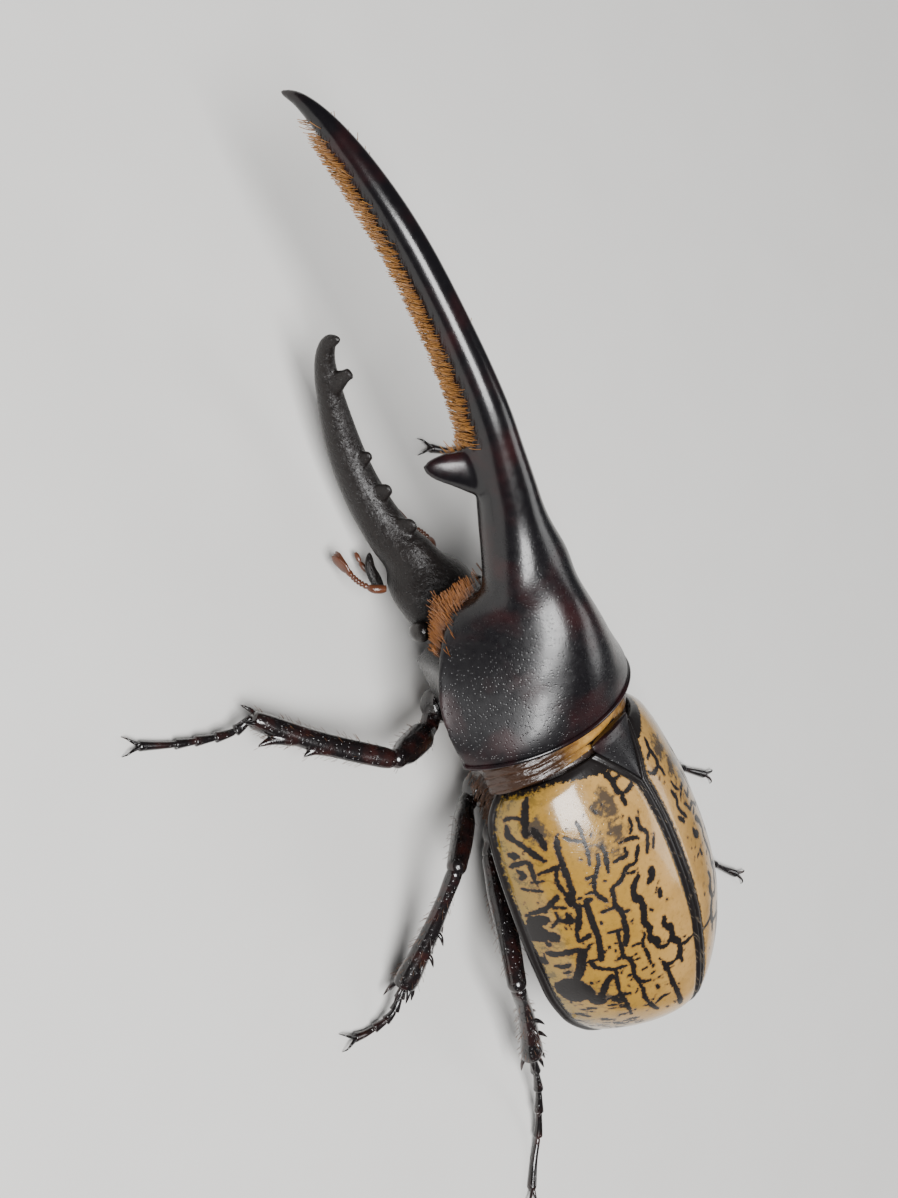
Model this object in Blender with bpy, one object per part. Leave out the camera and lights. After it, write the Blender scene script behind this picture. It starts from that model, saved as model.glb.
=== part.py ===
"""A large male hercules beetle as a still, life-size model standing on its six feet.

Sizes are millimetres in the beetle's own terms: left of the middle plane, forward of a line across the
shoulders of the wing covers, and up from the floor. The head faces -Y, the left side is +X, +Z is up.
"""
import math

import bpy
import bmesh
import numpy as np
from mathutils import Vector

MM = 0.001
GAP = 0.3

# Driving dimensions
CENTRE_LEFT = -0.2
CENTRE_FORWARD = 20.1
COVER_HALF_WIDTH = 21.0
COVER_FRONT = 3.3
COVER_END = -50.6
COVER_THICKNESS = 1.2
COLLAR_FRONT = 13.2
COLLAR_BACK = 4.5
THORAX_BACK = -14.0
ABDOMEN_BACK = -43.0
PYGIDIUM_END = -50.2
SCUTELLUM_TIP = -4.7
SCUTELLUM_BASE = 4.1
SCUTELLUM_HALF_WIDTH = 5.0
PRONOTUM_FRONT = 33.5
PRONOTUM_SIDE_FRONT = 26.0
UNDERSIDE = 9.5
UNDERSIDE_HALF_WIDTH = 7.0
HEAD_BACK = 25.0
HEAD_HORN_BASE = 37.6
SOLE_REACH = 0.5
LOCK_SINK = 0.8
BRUSH_START = 0.25
BRUSH_END = 0.95
BRUSH_LOCKS = 23
BRUSH_LENGTH = 2.0
FRINGE_LOCKS = 19
FRINGE_LENGTH = 4.4
EYE_MIDDLE = (29.3, 14.4)


for stale in list(bpy.data.objects):
    bpy.data.objects.remove(stale, do_unlink=True)


def place(point):
    """World position in metres of a point given left, forward and up in millimetres."""
    return Vector(((point[0] - CENTRE_LEFT) * MM, (CENTRE_FORWARD - point[1]) * MM, point[2] * MM))


def curve(x, *knots):
    """Smooth curve through (x, y) knots that never overshoots them, level outside its ends."""
    xs = np.array([knot[0] for knot in knots], float)
    ys = np.array([knot[1] for knot in knots], float)
    slope = np.diff(ys) / np.diff(xs)
    tangent = np.zeros(len(xs))
    tangent[0], tangent[-1] = slope[0], slope[-1]
    for i in range(1, len(xs) - 1):
        if slope[i - 1] * slope[i] > 0:
            tangent[i] = 2 * slope[i - 1] * slope[i] / (slope[i - 1] + slope[i])
    i = int(np.clip(np.searchsorted(xs, x) - 1, 0, len(xs) - 2))
    h = xs[i + 1] - xs[i]
    t = min(1.0, max(0.0, (x - xs[i]) / h))
    return ((1 + 2 * t) * (1 - t) ** 2 * ys[i] + t * (1 - t) ** 2 * h * tangent[i]
            + t * t * (3 - 2 * t) * ys[i + 1] + t * t * (t - 1) * h * tangent[i + 1])


def unit(v):
    v = np.asarray(v, float)
    return v / np.linalg.norm(v)


def material(name, colour, roughness, metallic=0.0):
    made = bpy.data.materials.new(name)
    made.use_nodes = True
    shader = made.node_tree.nodes["Principled BSDF"]
    shader.inputs["Base Color"].default_value = (*colour, 1.0)
    shader.inputs["Roughness"].default_value = roughness
    shader.inputs["Metallic"].default_value = metallic
    return made


BLACK_SHELL = material("black_shell", (0.012, 0.010, 0.010), 0.18)
RED_BLACK = material("red_black_leg", (0.030, 0.012, 0.010), 0.25)
HORN_BLACK = material("dull_black_horn", (0.016, 0.014, 0.014), 0.40)
COVER_TAN = material("tan_wing_cover", (0.45, 0.27, 0.09), 0.25)
COLLAR_GOLD = material("golden_collar", (0.36, 0.19, 0.05), 0.35)
BELLY_BLACK = material("black_underside", (0.020, 0.014, 0.012), 0.35)
EYE_BLACK = material("dark_eye", (0.010, 0.008, 0.008), 0.12)
FEELER_BROWN = material("brown_feeler", (0.060, 0.022, 0.012), 0.35)


def add(name, vertices, faces, finish):
    """An object from points in beetle terms, its faces turned outwards."""
    mesh = bpy.data.meshes.new(name)
    mesh.from_pydata([place(v) for v in vertices], [], faces)
    work = bmesh.new()
    work.from_mesh(mesh)
    bmesh.ops.recalc_face_normals(work, faces=work.faces)
    work.to_mesh(mesh)
    work.free()
    mesh.materials.append(finish)
    made = bpy.data.objects.new(name, mesh)
    bpy.context.scene.collection.objects.link(made)
    return made


def loft(name, rings, finish):
    """A closed skin through rings of equal count, with a fan over each end."""
    count = len(rings[0])
    vertices = [point for ring in rings for point in ring]
    faces = []
    for r in range(len(rings) - 1):
        for i in range(count):
            a = r * count + i
            b = r * count + (i + 1) % count
            faces += [(a, b, b + count), (a, b + count, a + count)]
    for start in (0, (len(rings) - 1) * count):
        vertices.append(np.mean(np.array(vertices[start:start + count]), axis=0))
        faces += [(len(vertices) - 1, start + i, start + (i + 1) % count) for i in range(count)]
    return add(name, vertices, faces, finish)


def largest_body(mesh):
    """Keeps only the largest closed surface of a mesh."""
    work = bmesh.new()
    work.from_mesh(mesh)
    seen, bodies = set(), []
    for first in work.faces:
        if first in seen:
            continue
        body, queue = [], [first]
        seen.add(first)
        while queue:
            face = queue.pop()
            body.append(face)
            for edge in face.edges:
                for other in edge.link_faces:
                    if other not in seen:
                        seen.add(other)
                        queue.append(other)
        bodies.append(body)
    bodies.sort(key=lambda body: sum(face.calc_area() for face in body))
    loose = [face for body in bodies[:-1] for face in body]
    if loose:
        bmesh.ops.delete(work, geom=loose, context="FACES")
    work.to_mesh(mesh)
    work.free()


def fuse(base, pieces, solver="EXACT"):
    """One Boolean union of an object with the pieces that grow from it."""
    group = bpy.data.collections.new(base.name + "_growths")
    bpy.context.scene.collection.children.link(group)
    for piece in pieces:
        bpy.context.scene.collection.objects.unlink(piece)
        group.objects.link(piece)
    union = base.modifiers.new("union", "BOOLEAN")
    union.operation = "UNION"
    union.operand_type = "COLLECTION"
    union.collection = group
    union.solver = solver
    bpy.context.view_layer.update()
    scene_now = bpy.context.evaluated_depsgraph_get()
    joined = bpy.data.meshes.new_from_object(base.evaluated_get(scene_now))
    base.modifiers.clear()
    base.data = joined
    for piece in pieces:
        bpy.data.objects.remove(piece, do_unlink=True)
    bpy.data.collections.remove(group)
    largest_body(joined)
    return base


def ring(centre, normal, half_side, half_height, sides, lift=(0, 0, 1), turn=0.5):
    """An oval ring of points round a centre, square to a normal, its height axis towards lift."""
    normal = unit(normal)
    side = unit(np.cross(lift, normal))
    rise = np.cross(normal, side)
    points = []
    for k in range(sides):
        angle = 2 * math.pi * (k + turn) / sides
        points.append(np.asarray(centre, float) + side * half_side * math.cos(angle)
                      + rise * half_height * math.sin(angle))
    return points


def smooth_path(points, count):
    """Evenly spread places and directions on a smooth curve through the points."""
    points = np.array(points, float)
    padded = np.vstack([2 * points[0] - points[1], points, 2 * points[-1] - points[-2]])
    dense = []
    for i in range(1, len(padded) - 2):
        p0, p1, p2, p3 = padded[i - 1:i + 3]
        for t in np.linspace(0, 1, 24, endpoint=False):
            dense.append(0.5 * (2 * p1 + (p2 - p0) * t + (2 * p0 - 5 * p1 + 4 * p2 - p3) * t * t
                                + (3 * p1 - p0 - 3 * p2 + p3) * t ** 3))
    dense.append(padded[-2])
    dense = np.array(dense)
    length = np.concatenate([[0], np.cumsum(np.linalg.norm(np.diff(dense, axis=0), axis=1))])
    spots = np.asarray(count) * length[-1] if np.ndim(count) else np.linspace(0, length[-1], count)
    places = np.stack([np.interp(spots, length, dense[:, k]) for k in range(3)], axis=1)
    step = length[-1] / 200
    ahead = np.stack([np.interp(spots + step, length, dense[:, k]) for k in range(3)], axis=1)
    behind = np.stack([np.interp(spots - step, length, dense[:, k]) for k in range(3)], axis=1)
    return places, ahead - behind


def tube(name, points, stations, half_sides, half_heights, sides, finish, lift=(0, 0, 1), floor=None):
    """A tapering tube on a smooth path, with its half sizes given at each station."""
    places, directions = smooth_path(points, stations)
    rings = []
    for k in range(len(places)):
        rings.append(ring(places[k], directions[k], half_sides[k], half_heights[k], sides, lift))
    if floor is not None:
        rings = [[(p[0], p[1], max(p[2], floor)) for p in one] for one in rings]
    return loft(name, rings, finish)


def spike(name, root, tip, root_radius, finish, sides=4, bend=None, blunt=0.2):
    """A tapered spine from a sunk root to its tip, with a slight bend if one is given."""
    root, tip = np.asarray(root, float), np.asarray(tip, float)
    along = unit(tip - root)
    lift = (0, 0, 1) if abs(along[2]) < 0.8 else (0, 1, 0)
    points = [root, tip] if bend is None else [root, (root + tip) / 2 + np.asarray(bend, float), tip]
    stations = [0, 1] if bend is None else [0, 0.5, 1]
    radii = [root_radius, root_radius * blunt] if bend is None else [root_radius, root_radius * 0.62,
                                                                      root_radius * blunt]
    return tube(name, points, stations, radii, radii, sides, finish, lift)


def tooth(name, root, tip, half_across, half_along, along, finish, blunt=0.2):
    """A broad-based tooth, flattened along its horn."""
    root, tip = np.asarray(root, float), np.asarray(tip, float)
    rings = []
    for share, size in ((0.0, 1.0), (0.45, 0.62), (0.85, 0.28 + blunt * 0.3), (1.0, blunt)):
        centre = root + (tip - root) * share
        rings.append(ring(centre, tip - root, half_across * size, half_along * size, 8, lift=along))
    return loft(name, rings, finish)


def lock(name, root, out, bent, length, half_width, half_thickness, wide, finish):
    """A flat, tapered lock of bristles that starts along out and bends over to the direction bent."""
    out, bent = unit(out), unit(bent)
    middle = root + out * length * 0.45
    tip = middle + bent * length * 0.6
    centres = (root - out * LOCK_SINK, middle, tip)
    normals = (out, unit(out + bent), bent)
    rings = []
    for centre, normal, size in zip(centres, normals, (1.0, 0.9, 0.3)):
        thin = max(half_thickness * (0.5 + 0.5 * size), 0.2)
        rings.append(ring(centre, normal, thin, half_width * size, 4, lift=wide, turn=0))
    return loft(name, rings, finish)


# Trunk heights and widths along the body

def cover_half_width(forward, inset=0.0):
    u = (COVER_FRONT - forward) / (COVER_FRONT - COVER_END - inset)
    share = curve(u, (0, .70), (.02, .80), (.06, .88), (.15, .94), (.3, .98), (.5, 1.0), (.65, .985),
                  (.78, .90), (.88, .73), (.95, .50), (.985, .27), (1, .10))
    return COVER_HALF_WIDTH * share - inset


def cover_top(forward):
    return curve(forward, (COVER_END, 21.5), (-49.8, 26.0), (-47.9, 29.0), (-43.6, 31.8), (-37.1, 34.6),
                 (-29.0, 37.1), (-20.9, 38.4), (-12.9, 38.9), (-3.2, 38.0), (COVER_FRONT, 36.6))


def cover_margin(forward):
    return curve(forward, (COVER_END, 15.4), (-42.5, 16.4), (-29.0, 18.2), (-12.9, 19.9), (-2.1, 21.1),
                 (COVER_FRONT, 22.6))


def belly(forward):
    return curve(forward, (PYGIDIUM_END, 14.0), (-47.0, 12.2), (-43.0, 10.6), (-35.0, 9.2), (-24.0, 8.8),
                 (-14.0, UNDERSIDE), (12.0, UNDERSIDE))


def bowl(half_width, margin, bottom, left):
    """Height of the body below its margin, where the sides curve in to a flat underside."""
    keel = min(UNDERSIDE_HALF_WIDTH, half_width * 0.5)
    share = max(0.0, (abs(left) - keel) / (half_width - keel))
    return bottom + (margin - bottom) * share * (1.5 - 0.5 * share)


def trunk_ring(forward, half_width, top, margin, bottom, count, fullness=0.98):
    """A trunk section: a dome above the margin height and a bowl below it."""
    points = []
    for k in range(count):
        angle = 2 * math.pi * k / count
        left, rise = half_width * math.cos(angle), math.sin(angle)
        if rise >= 0:
            up = margin + (top - margin) * rise ** fullness
        else:
            up = bowl(half_width, margin, bottom, left)
        points.append((left, forward, up))
    return points


# Wing covers, one each side, as thin shells that part round the scutellum

def seam_left(forward):
    """How far the inner edge of a wing cover is from the middle plane."""
    half_gap = GAP / 2
    if forward <= SCUTELLUM_TIP:
        return half_gap
    share = (forward - SCUTELLUM_TIP) / (SCUTELLUM_BASE - SCUTELLUM_TIP)
    return half_gap + (SCUTELLUM_HALF_WIDTH + GAP) * min(1.0, share)


def cover_point(side, forward, share, inset):
    """A point of a wing cover: share 0 at the outer margin and 1 at the seam."""
    half_width = cover_half_width(forward) - inset
    top = cover_top(forward) - inset
    margin = cover_margin(forward)
    seam_angle = math.acos(min(0.98, seam_left(forward) / half_width))
    angle = share * seam_angle
    up = margin + (top - margin) * math.sin(angle) ** 0.98
    left = half_width * math.cos(angle)
    if share == 1:
        left = seam_left(forward)
    return (side * left, forward, up)


def wing_cover(side, name):
    stations = [COVER_FRONT - u * (COVER_FRONT - COVER_END)
                for u in (0, .02, .06, .12, .2, .3, .4, .5, .6, .7, .78, .85, .9, .94, .97, .99, 1)]
    shares = [0, .1, .22, .36, .5, .64, .78, .9, 1]
    rows, columns = len(stations), len(shares)
    vertices = []
    for inset in (0.0, COVER_THICKNESS):
        for k, forward in enumerate(stations):
            moved = forward
            if inset and k >= rows - 3:
                moved = stations[rows - 4] - (stations[rows - 4] - forward) * 0.55
            for share in shares:
                vertices.append(cover_point(side, moved, share, inset))
    faces = []
    inner = rows * columns
    for r in range(rows - 1):
        for c in range(columns - 1):
            a = r * columns + c
            for base in (0, inner):
                faces += [(base + a, base + a + 1, base + a + columns + 1),
                          (base + a, base + a + columns + 1, base + a + columns)]
    border = [c for c in range(columns)]
    border += [r * columns + columns - 1 for r in range(1, rows)]
    border += [(rows - 1) * columns + c for c in range(columns - 2, -1, -1)]
    border += [r * columns for r in range(rows - 2, 0, -1)]
    for k, a in enumerate(border):
        b = border[(k + 1) % len(border)]
        faces += [(a, b, inner + b), (a, inner + b, inner + a)]
    return add(name, vertices, faces, COVER_TAN)


def inner_ring(forward, count, bottom=None, shrink=0.0):
    """A trunk section just under the wing covers."""
    lost = COVER_THICKNESS + GAP + 0.25 + shrink
    return trunk_ring(forward, cover_half_width(forward) - lost, cover_top(forward) - lost,
                      cover_margin(forward), belly(forward) if bottom is None else bottom, count)


def make_trunk():
    wing_cover(1, "wing_cover_left")
    wing_cover(-1, "wing_cover_right")

    # Collar between pronotum and wing covers
    collar = []
    for forward, half_width, top in ((COLLAR_FRONT, 14.8, 33.8), (10.5, 15.6, 34.6), (7.5, 16.2, 35.0),
                                     (COLLAR_BACK, 16.6, 35.0)):
        low = curve(forward, (COLLAR_BACK, UNDERSIDE), (8.0, UNDERSIDE), (10.0, 12.3), (COLLAR_FRONT, 12.9))
        collar.append(trunk_ring(forward, half_width, top, 22.8, low, 28))
    loft("collar", collar, COLLAR_GOLD)

    # Rear thorax, between the collar and the belly
    thorax = []
    for forward in (COLLAR_BACK - GAP, COVER_FRONT, 2.2, 0.1, -3.2, -7.5, -11.0, THORAX_BACK):
        thorax.append(inner_ring(forward, 28))
    loft("rear_thorax", thorax, BELLY_BLACK)

    # Belly with raised hind edges of its plates
    plates = 5
    start = THORAX_BACK - GAP
    length = (start - ABDOMEN_BACK) / plates
    abdomen = []
    for plate in range(plates):
        near = start - plate * length
        abdomen.append(inner_ring(near, 28, belly(near) + 0.45))
        abdomen.append(inner_ring(near - length * 0.86, 28, belly(near - length * 0.86)))
    abdomen.append(inner_ring(ABDOMEN_BACK, 28, belly(ABDOMEN_BACK) + 0.3))
    loft("abdomen", abdomen, BELLY_BLACK)

    # Last plate at the rear, below the ends of the wing covers
    pygidium = []
    for forward, shrink in ((ABDOMEN_BACK - GAP, 0.0), (-45.5, 0.1), (-47.5, 0.4), (-48.6, 0.8), (-49.1, 2.2)):
        half_width = cover_half_width(forward) - COVER_THICKNESS - GAP - 0.4 - shrink
        top = cover_top(forward) - COVER_THICKNESS - GAP - 0.6 - shrink * 2
        pygidium.append(trunk_ring(forward, half_width, top, cover_margin(forward), belly(forward) + shrink, 24))
    loft("pygidium", pygidium, BELLY_BLACK)

    # Scutellum, the small shield between the bases of the wing covers
    shield = []
    for forward in (SCUTELLUM_TIP + 0.4, -2.6, 0.0, 2.4, SCUTELLUM_BASE):
        share = (forward - SCUTELLUM_TIP) / (SCUTELLUM_BASE - SCUTELLUM_TIP)
        half_width = SCUTELLUM_HALF_WIDTH * share - 0.05
        top = cover_top(forward)
        under = top - COVER_THICKNESS - 0.05
        drop = 0.35 * share
        shield.append([(half_width, forward, under - drop), (half_width, forward, top - drop - 0.2),
                       (half_width * 0.55, forward, top - 0.05), (0, forward, top + 0.1),
                       (-half_width * 0.55, forward, top - 0.05), (-half_width, forward, top - drop - 0.2),
                       (-half_width, forward, under - drop), (0, forward, under)])
    loft("scutellum", shield, BLACK_SHELL)


# Pronotum, the big shield behind the head, hollowed for the collar and for the head

def pronotum_half_width(forward):
    return curve(forward, (7.2, 16.2), (9.0, 18.2), (11.5, 19.3), (15.0, 19.7), (19.0, 19.4), (22.5, 18.3),
                 (26.0, 16.2), (30.0, 13.4), (33.5, 11.6))


def pronotum_top(forward):
    return curve(forward, (7.2, 37.1), (12.0, 39.2), (18.0, 40.8), (25.0, 41.5), (33.5, 41.2))


def pronotum_point(angle, forward):
    """A point on the outside of the pronotum, whose dome sharpens into the horn's root at the front."""
    half_width = pronotum_half_width(forward)
    left, rise = half_width * math.cos(angle), math.sin(angle)
    top = pronotum_top(forward)
    margin = curve(forward, (7.2, 23.4), (20.0, 23.4), (33.5, 24.4))
    if rise >= 0:
        peak = curve(forward, (8.0, 1.0), (12.0, 1.5), (15.0, 2.0), (18.0, 2.4), (24.0, 2.7), (29.0, 2.3),
                     (33.5, 1.8))
        return (left, forward, margin + (top - margin) * rise ** peak)
    return (left, forward, bowl(half_width, margin, UNDERSIDE, left))


def make_pronotum():
    count = 32
    angles = [2 * math.pi * k / count for k in range(count)]

    def rear(angle):
        return 10.4 - (3.2 if math.sin(angle) > 0 else 1.2) * math.sin(angle)

    def front(angle):
        rise = math.sin(angle)
        if rise < 0:
            return PRONOTUM_SIDE_FRONT - 2.0 * (-rise) ** 0.6
        return PRONOTUM_SIDE_FRONT + (PRONOTUM_FRONT - PRONOTUM_SIDE_FRONT) * min(1.0, rise / 0.38) ** 0.9

    def brow(angle):
        return max(front(angle), HEAD_BACK - GAP)

    def lip(angle):
        return brow(angle) + 1.0 * max(0.0, math.sin(angle)) ** 0.5

    def socket(edge, half_width, top, margin, bottom):
        flat = trunk_ring(0, half_width, top, margin, bottom, count)
        return [(p[0], edge(a) if callable(edge) else edge, p[2]) for p, a in zip(flat, angles)]

    rings = [socket(COLLAR_FRONT + GAP, 15.4, 34.4, 23.0, 12.3),
             socket(lambda a: rear(a) + 0.6, 16.6, 35.9, 23.0, 11.6)]
    for share in (0, .03, .1, .22, .36, .5, .63, .75, .86, .95, 1):
        row = []
        for a in angles:
            forward = rear(a) + share * (front(a) - rear(a))
            point = pronotum_point(a, forward)
            if share == 0:
                point = (point[0] * 0.975, point[1], 22.8 + (point[2] - 22.8) * 0.975)
            row.append(point)
        rings.append(row)
    # Front rim with the lip that its fringe makes over the head
    rings.append(socket(brow, 9.8, 27.2, 20.0, UNDERSIDE + 1.0))
    rings.append(socket(lip, 9.2, 26.0, 20.0, UNDERSIDE + 1.3))
    rings.append(socket(lambda a: lip(a) - 0.3 * max(0.0, math.sin(a)), 8.8, 25.2, 20.0, UNDERSIDE + 1.6))
    rings.append(socket(HEAD_BACK - GAP, 8.4, 22.5, 19.0, UNDERSIDE + 2.0))
    shield = loft("pronotum", rings, BLACK_SHELL)
    # Fringe of bristles over the head, from the front rim
    chance = np.random.default_rng(9)
    fringe = []
    for a in np.linspace(math.radians(-6), math.radians(186), FRINGE_LOCKS):
        radial = unit((9.4 * math.cos(a), 0, 7.0 * math.sin(a)))
        root = np.array([9.5 * math.cos(a), front(a), 20.0 + 6.6 * math.sin(a)])
        along = np.array([-math.sin(a), 0, math.cos(a)])
        out = np.array([0, 1.0, 0]) + radial * 0.10
        bent = np.array([0, 1.0, 0]) - radial * chance.uniform(.12, .3) + along * chance.uniform(-.15, .15)
        fringe.append(lock("lock", root, out, bent, FRINGE_LENGTH * chance.uniform(.85, 1.1), 1.5, .36, along,
                           BLACK_SHELL))
    fuse(shield, fringe, solver="MANIFOLD")
    return shield


# Thoracic horn, rising from the pronotum and curving down to its tip, with a pair of side teeth

HORN_LINE = [(34.0, 34.3), (36.5, 34.9), (39.5, 35.4), (43.0, 36.2), (48.0, 37.6), (54.0, 39.3), (60.0, 40.4),
             (66.0, 40.9), (72.0, 41.0), (79.0, 40.8), (86.0, 40.2), (93.0, 39.0), (100.0, 37.2), (106.0, 35.1),
             (110.5, 32.5), (112.8, 29.6)]


def horn_half_width(share):
    return curve(share, (0, 8.3), (.035, 7.0), (.08, 5.6), (.14, 4.5), (.24, 3.8), (.34, 3.2), (.5, 2.8),
                 (.68, 2.6), (.8, 2.25), (.9, 1.6), (.97, .85), (1, .35))


def horn_half_height(share):
    return curve(share, (0, 6.7), (.035, 6.3), (.08, 5.8), (.14, 5.2), (.24, 4.3), (.34, 3.6), (.5, 3.1),
                 (.68, 2.85), (.8, 2.5), (.9, 1.8), (.97, .95), (1, .4))


def horn_path():
    return [(0, forward, up) for forward, up in HORN_LINE]


def make_thoracic_horn():
    shares = [0, .03, .065, .105, .15, .21, .27, .33, .4, .48, .56, .64, .72, .79, .85, .9, .94, .97, 1]
    places, directions = smooth_path(horn_path(), shares)
    rings = []
    for k, share in enumerate(shares):
        turn = min(1.0, share / 0.065)
        normal = unit(directions[k]) * turn + np.array([0, 1, 0]) * (1 - turn)
        rings.append(ring(places[k], normal, horn_half_width(share), horn_half_height(share), 16, turn=0))
    start = PRONOTUM_FRONT + GAP
    rings[0] = [(p[0], start, p[2]) for p in rings[0]]
    horn = loft("thoracic_horn", rings, BLACK_SHELL)
    teeth = []
    for side in (1, -1):
        teeth.append(tooth("side_tooth", (side * 1.4, 52.6, 36.9), (side * 8.1, 56.3, 31.4), 2.2, 3.9, (0, 1, 0),
                           BLACK_SHELL, blunt=0.14))
    # Brush of bristles under the horn, in two rows that lean to its tip
    chance = np.random.default_rng(5)
    brush = []
    for row in (1, -1):
        stagger = row * 0.25 * (BRUSH_END - BRUSH_START) / BRUSH_LOCKS
        spots = np.linspace(BRUSH_START, BRUSH_END, BRUSH_LOCKS) + stagger
        roots, aheads = smooth_path(horn_path(), spots)
        for k, spot in enumerate(spots):
            ahead = unit(aheads[k])
            below = unit(np.cross((1, 0, 0), ahead))
            below = below if below[2] < 0 else -below
            out = unit(below + ahead * 0.35 + np.array([row * chance.uniform(.2, .4), 0, 0]))
            aside = np.array([row * horn_half_width(spot) * .3, 0, 0])
            root = roots[k] + below * horn_half_height(spot) * 0.9 + aside
            fade = curve(spot, (BRUSH_START, .7), (BRUSH_START + .08, 1), (BRUSH_END - .12, 1), (BRUSH_END, .5))
            length = BRUSH_LENGTH * fade * chance.uniform(.85, 1.15)
            brush.append(lock("lock", root, out, out + ahead * chance.uniform(1.0, 1.8), length, 1.75 * fade, .34,
                              ahead, BLACK_SHELL))
    fuse(horn, teeth + brush)
    return horn


# Head with its own horn, eyes, feelers and mouthparts

def make_head():
    rings = []
    for forward, half_width, top, bottom in ((HEAD_BACK, 5.8, 19.0, 11.6), (27.5, 6.9, 19.6, 9.8),
                                             (30.5, 7.0, 19.6, 8.4), (33.3, 7.0, 19.0, 7.4), (35.2, 6.6, 18.2, 6.6),
                                             (36.6, 5.7, 17.4, 5.9), (HEAD_HORN_BASE - GAP, 5.2, 16.8, 5.4)):
        centre = (top + bottom) / 2
        rings.append(ring((0, forward, centre), (0, 1, 0), half_width, (top - bottom) / 2, 20, turn=0))
    return loft("head", rings, HORN_BLACK)


CEPHALIC_LINE = [(37.9, 11.9), (40.5, 10.5), (43.5, 9.3), (48.0, 8.3), (52.4, 8.0), (56.6, 8.2), (60.4, 8.8),
                 (64.0, 9.7), (67.3, 10.7), (71.0, 12.0), (74.2, 13.7), (76.3, 16.0), (76.4, 18.7)]


# Each tooth of the head's horn: forward, up, height, lean, half length along the horn and bluntness
CEPHALIC_TEETH = [(44.0, 11.4, 4.6, 0.6, 3.0, .25), (50.6, 10.0, 4.4, 0.6, 2.7, .25),
                  (56.9, 9.6, 4.0, 0.4, 2.3, .25), (70.0, 12.4, 5.2, 0.9, 2.4, .45)]


def make_cephalic_horn():
    shares = [0, .05, .11, .18, .26, .34, .42, .5, .58, .66, .73, .79, .84, .885, .925, .965, 1]
    places, directions = smooth_path([(0, f, u) for f, u in CEPHALIC_LINE], shares)
    rings = []
    for k, share in enumerate(shares):
        half_width = curve(share, (0, 4.0), (.15, 3.4), (.35, 3.0), (.55, 2.6), (.72, 2.0), (.85, 1.55),
                           (.95, 1.0), (1, .45))
        half_height = curve(share, (0, 4.9), (.15, 4.2), (.35, 3.6), (.55, 3.0), (.72, 2.3), (.85, 1.75),
                            (.95, 1.15), (1, .5))
        turn = min(1.0, share / 0.11)
        normal = unit(directions[k]) * turn + np.array([0, 1, 0]) * (1 - turn)
        rings.append(ring(places[k], normal, half_width, half_height, 12, lift=(0, -0.35, 1), turn=0))
    rings[0] = [(p[0], HEAD_HORN_BASE, p[2]) for p in rings[0]]
    horn = loft("cephalic_horn", rings, HORN_BLACK)
    teeth = []
    for forward, up, height, lean, long, blunt in CEPHALIC_TEETH:
        teeth.append(tooth("tooth", (0, forward, up), (0, forward + lean, up + height), 1.5, long, (0, 1, 0),
                           HORN_BLACK, blunt=blunt))
    fuse(horn, teeth)
    return horn


def make_face():
    for side, word in ((1, "left"), (-1, "right")):
        # Eye, a low dome whose flat faces the head
        rings = []
        for lat in (-12, 0, 22, 44, 64, 80):
            a = math.radians(lat)
            spot = np.array([side * (7.75 + 1.4 * math.sin(a)), *EYE_MIDDLE])
            rings.append(ring(spot, (side, 0, 0), 1.7 * math.cos(a), 2.0 * math.cos(a), 12))
        loft("eye_" + word, rings, EYE_BLACK)

        # Feeler, tucked down beside the head: stalk, beads and a club of three leaves
        line = [(side * 6.3, 36.9, 9.9), (side * 7.9, 38.0, 8.8), (side * 8.4, 39.8, 7.0),
                (side * 7.9, 41.6, 5.2)]
        stations = [0, .12, .36, .5, .58, .66, .74, .82, .9, 1]
        sizes = [.45, .66, .72, .4, .52, .38, .5, .37, .48, .4]
        stalk = tube("antenna_" + word, line, stations, sizes, sizes, 7, FEELER_BROWN, lift=(0, 1, 1))
        leaves = []
        for turn in (-1, 0, 1):
            leaf = [(side * 8.0, 41.2, 5.6), (side * (7.7 + 0.4 * turn), 43.0, 4.4 + 0.2 * turn),
                    (side * (7.4 + 0.8 * turn), 44.8, 3.4 + 0.3 * turn)]
            leaves.append(tube("leaf", leaf, [0, .3, .7, 1], [.3, .34, .34, .2], [.5, .95, 1.0, .45], 6,
                               FEELER_BROWN, lift=(0, 1, 1)))
        fuse(stalk, leaves)

        # Jaw and the palp below it
        tube("mandible_" + word, [(side * 2.9, 36.4, 4.7), (side * 2.9, 39.2, 4.6), (side * 1.5, 41.6, 4.5)],
             [0, .25, .55, .8, 1], [.9, 1.15, 1.0, .75, .3], [.55, .75, .7, .55, .25], 8, HORN_BLACK)
        tube("palp_" + word, [(side * 1.5, 36.6, 3.6), (side * 2.4, 39.4, 2.7), (side * 2.0, 42.2, 1.9)],
             [0, .22, .36, .42, .6, .7, .76, .9, 1], [.4, .48, .46, .32, .46, .46, .3, .42, .28],
             [.4, .48, .46, .32, .46, .46, .3, .42, .28], 7, FEELER_BROWN)


# Legs, each a chain of joints from the body to the floor

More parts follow.
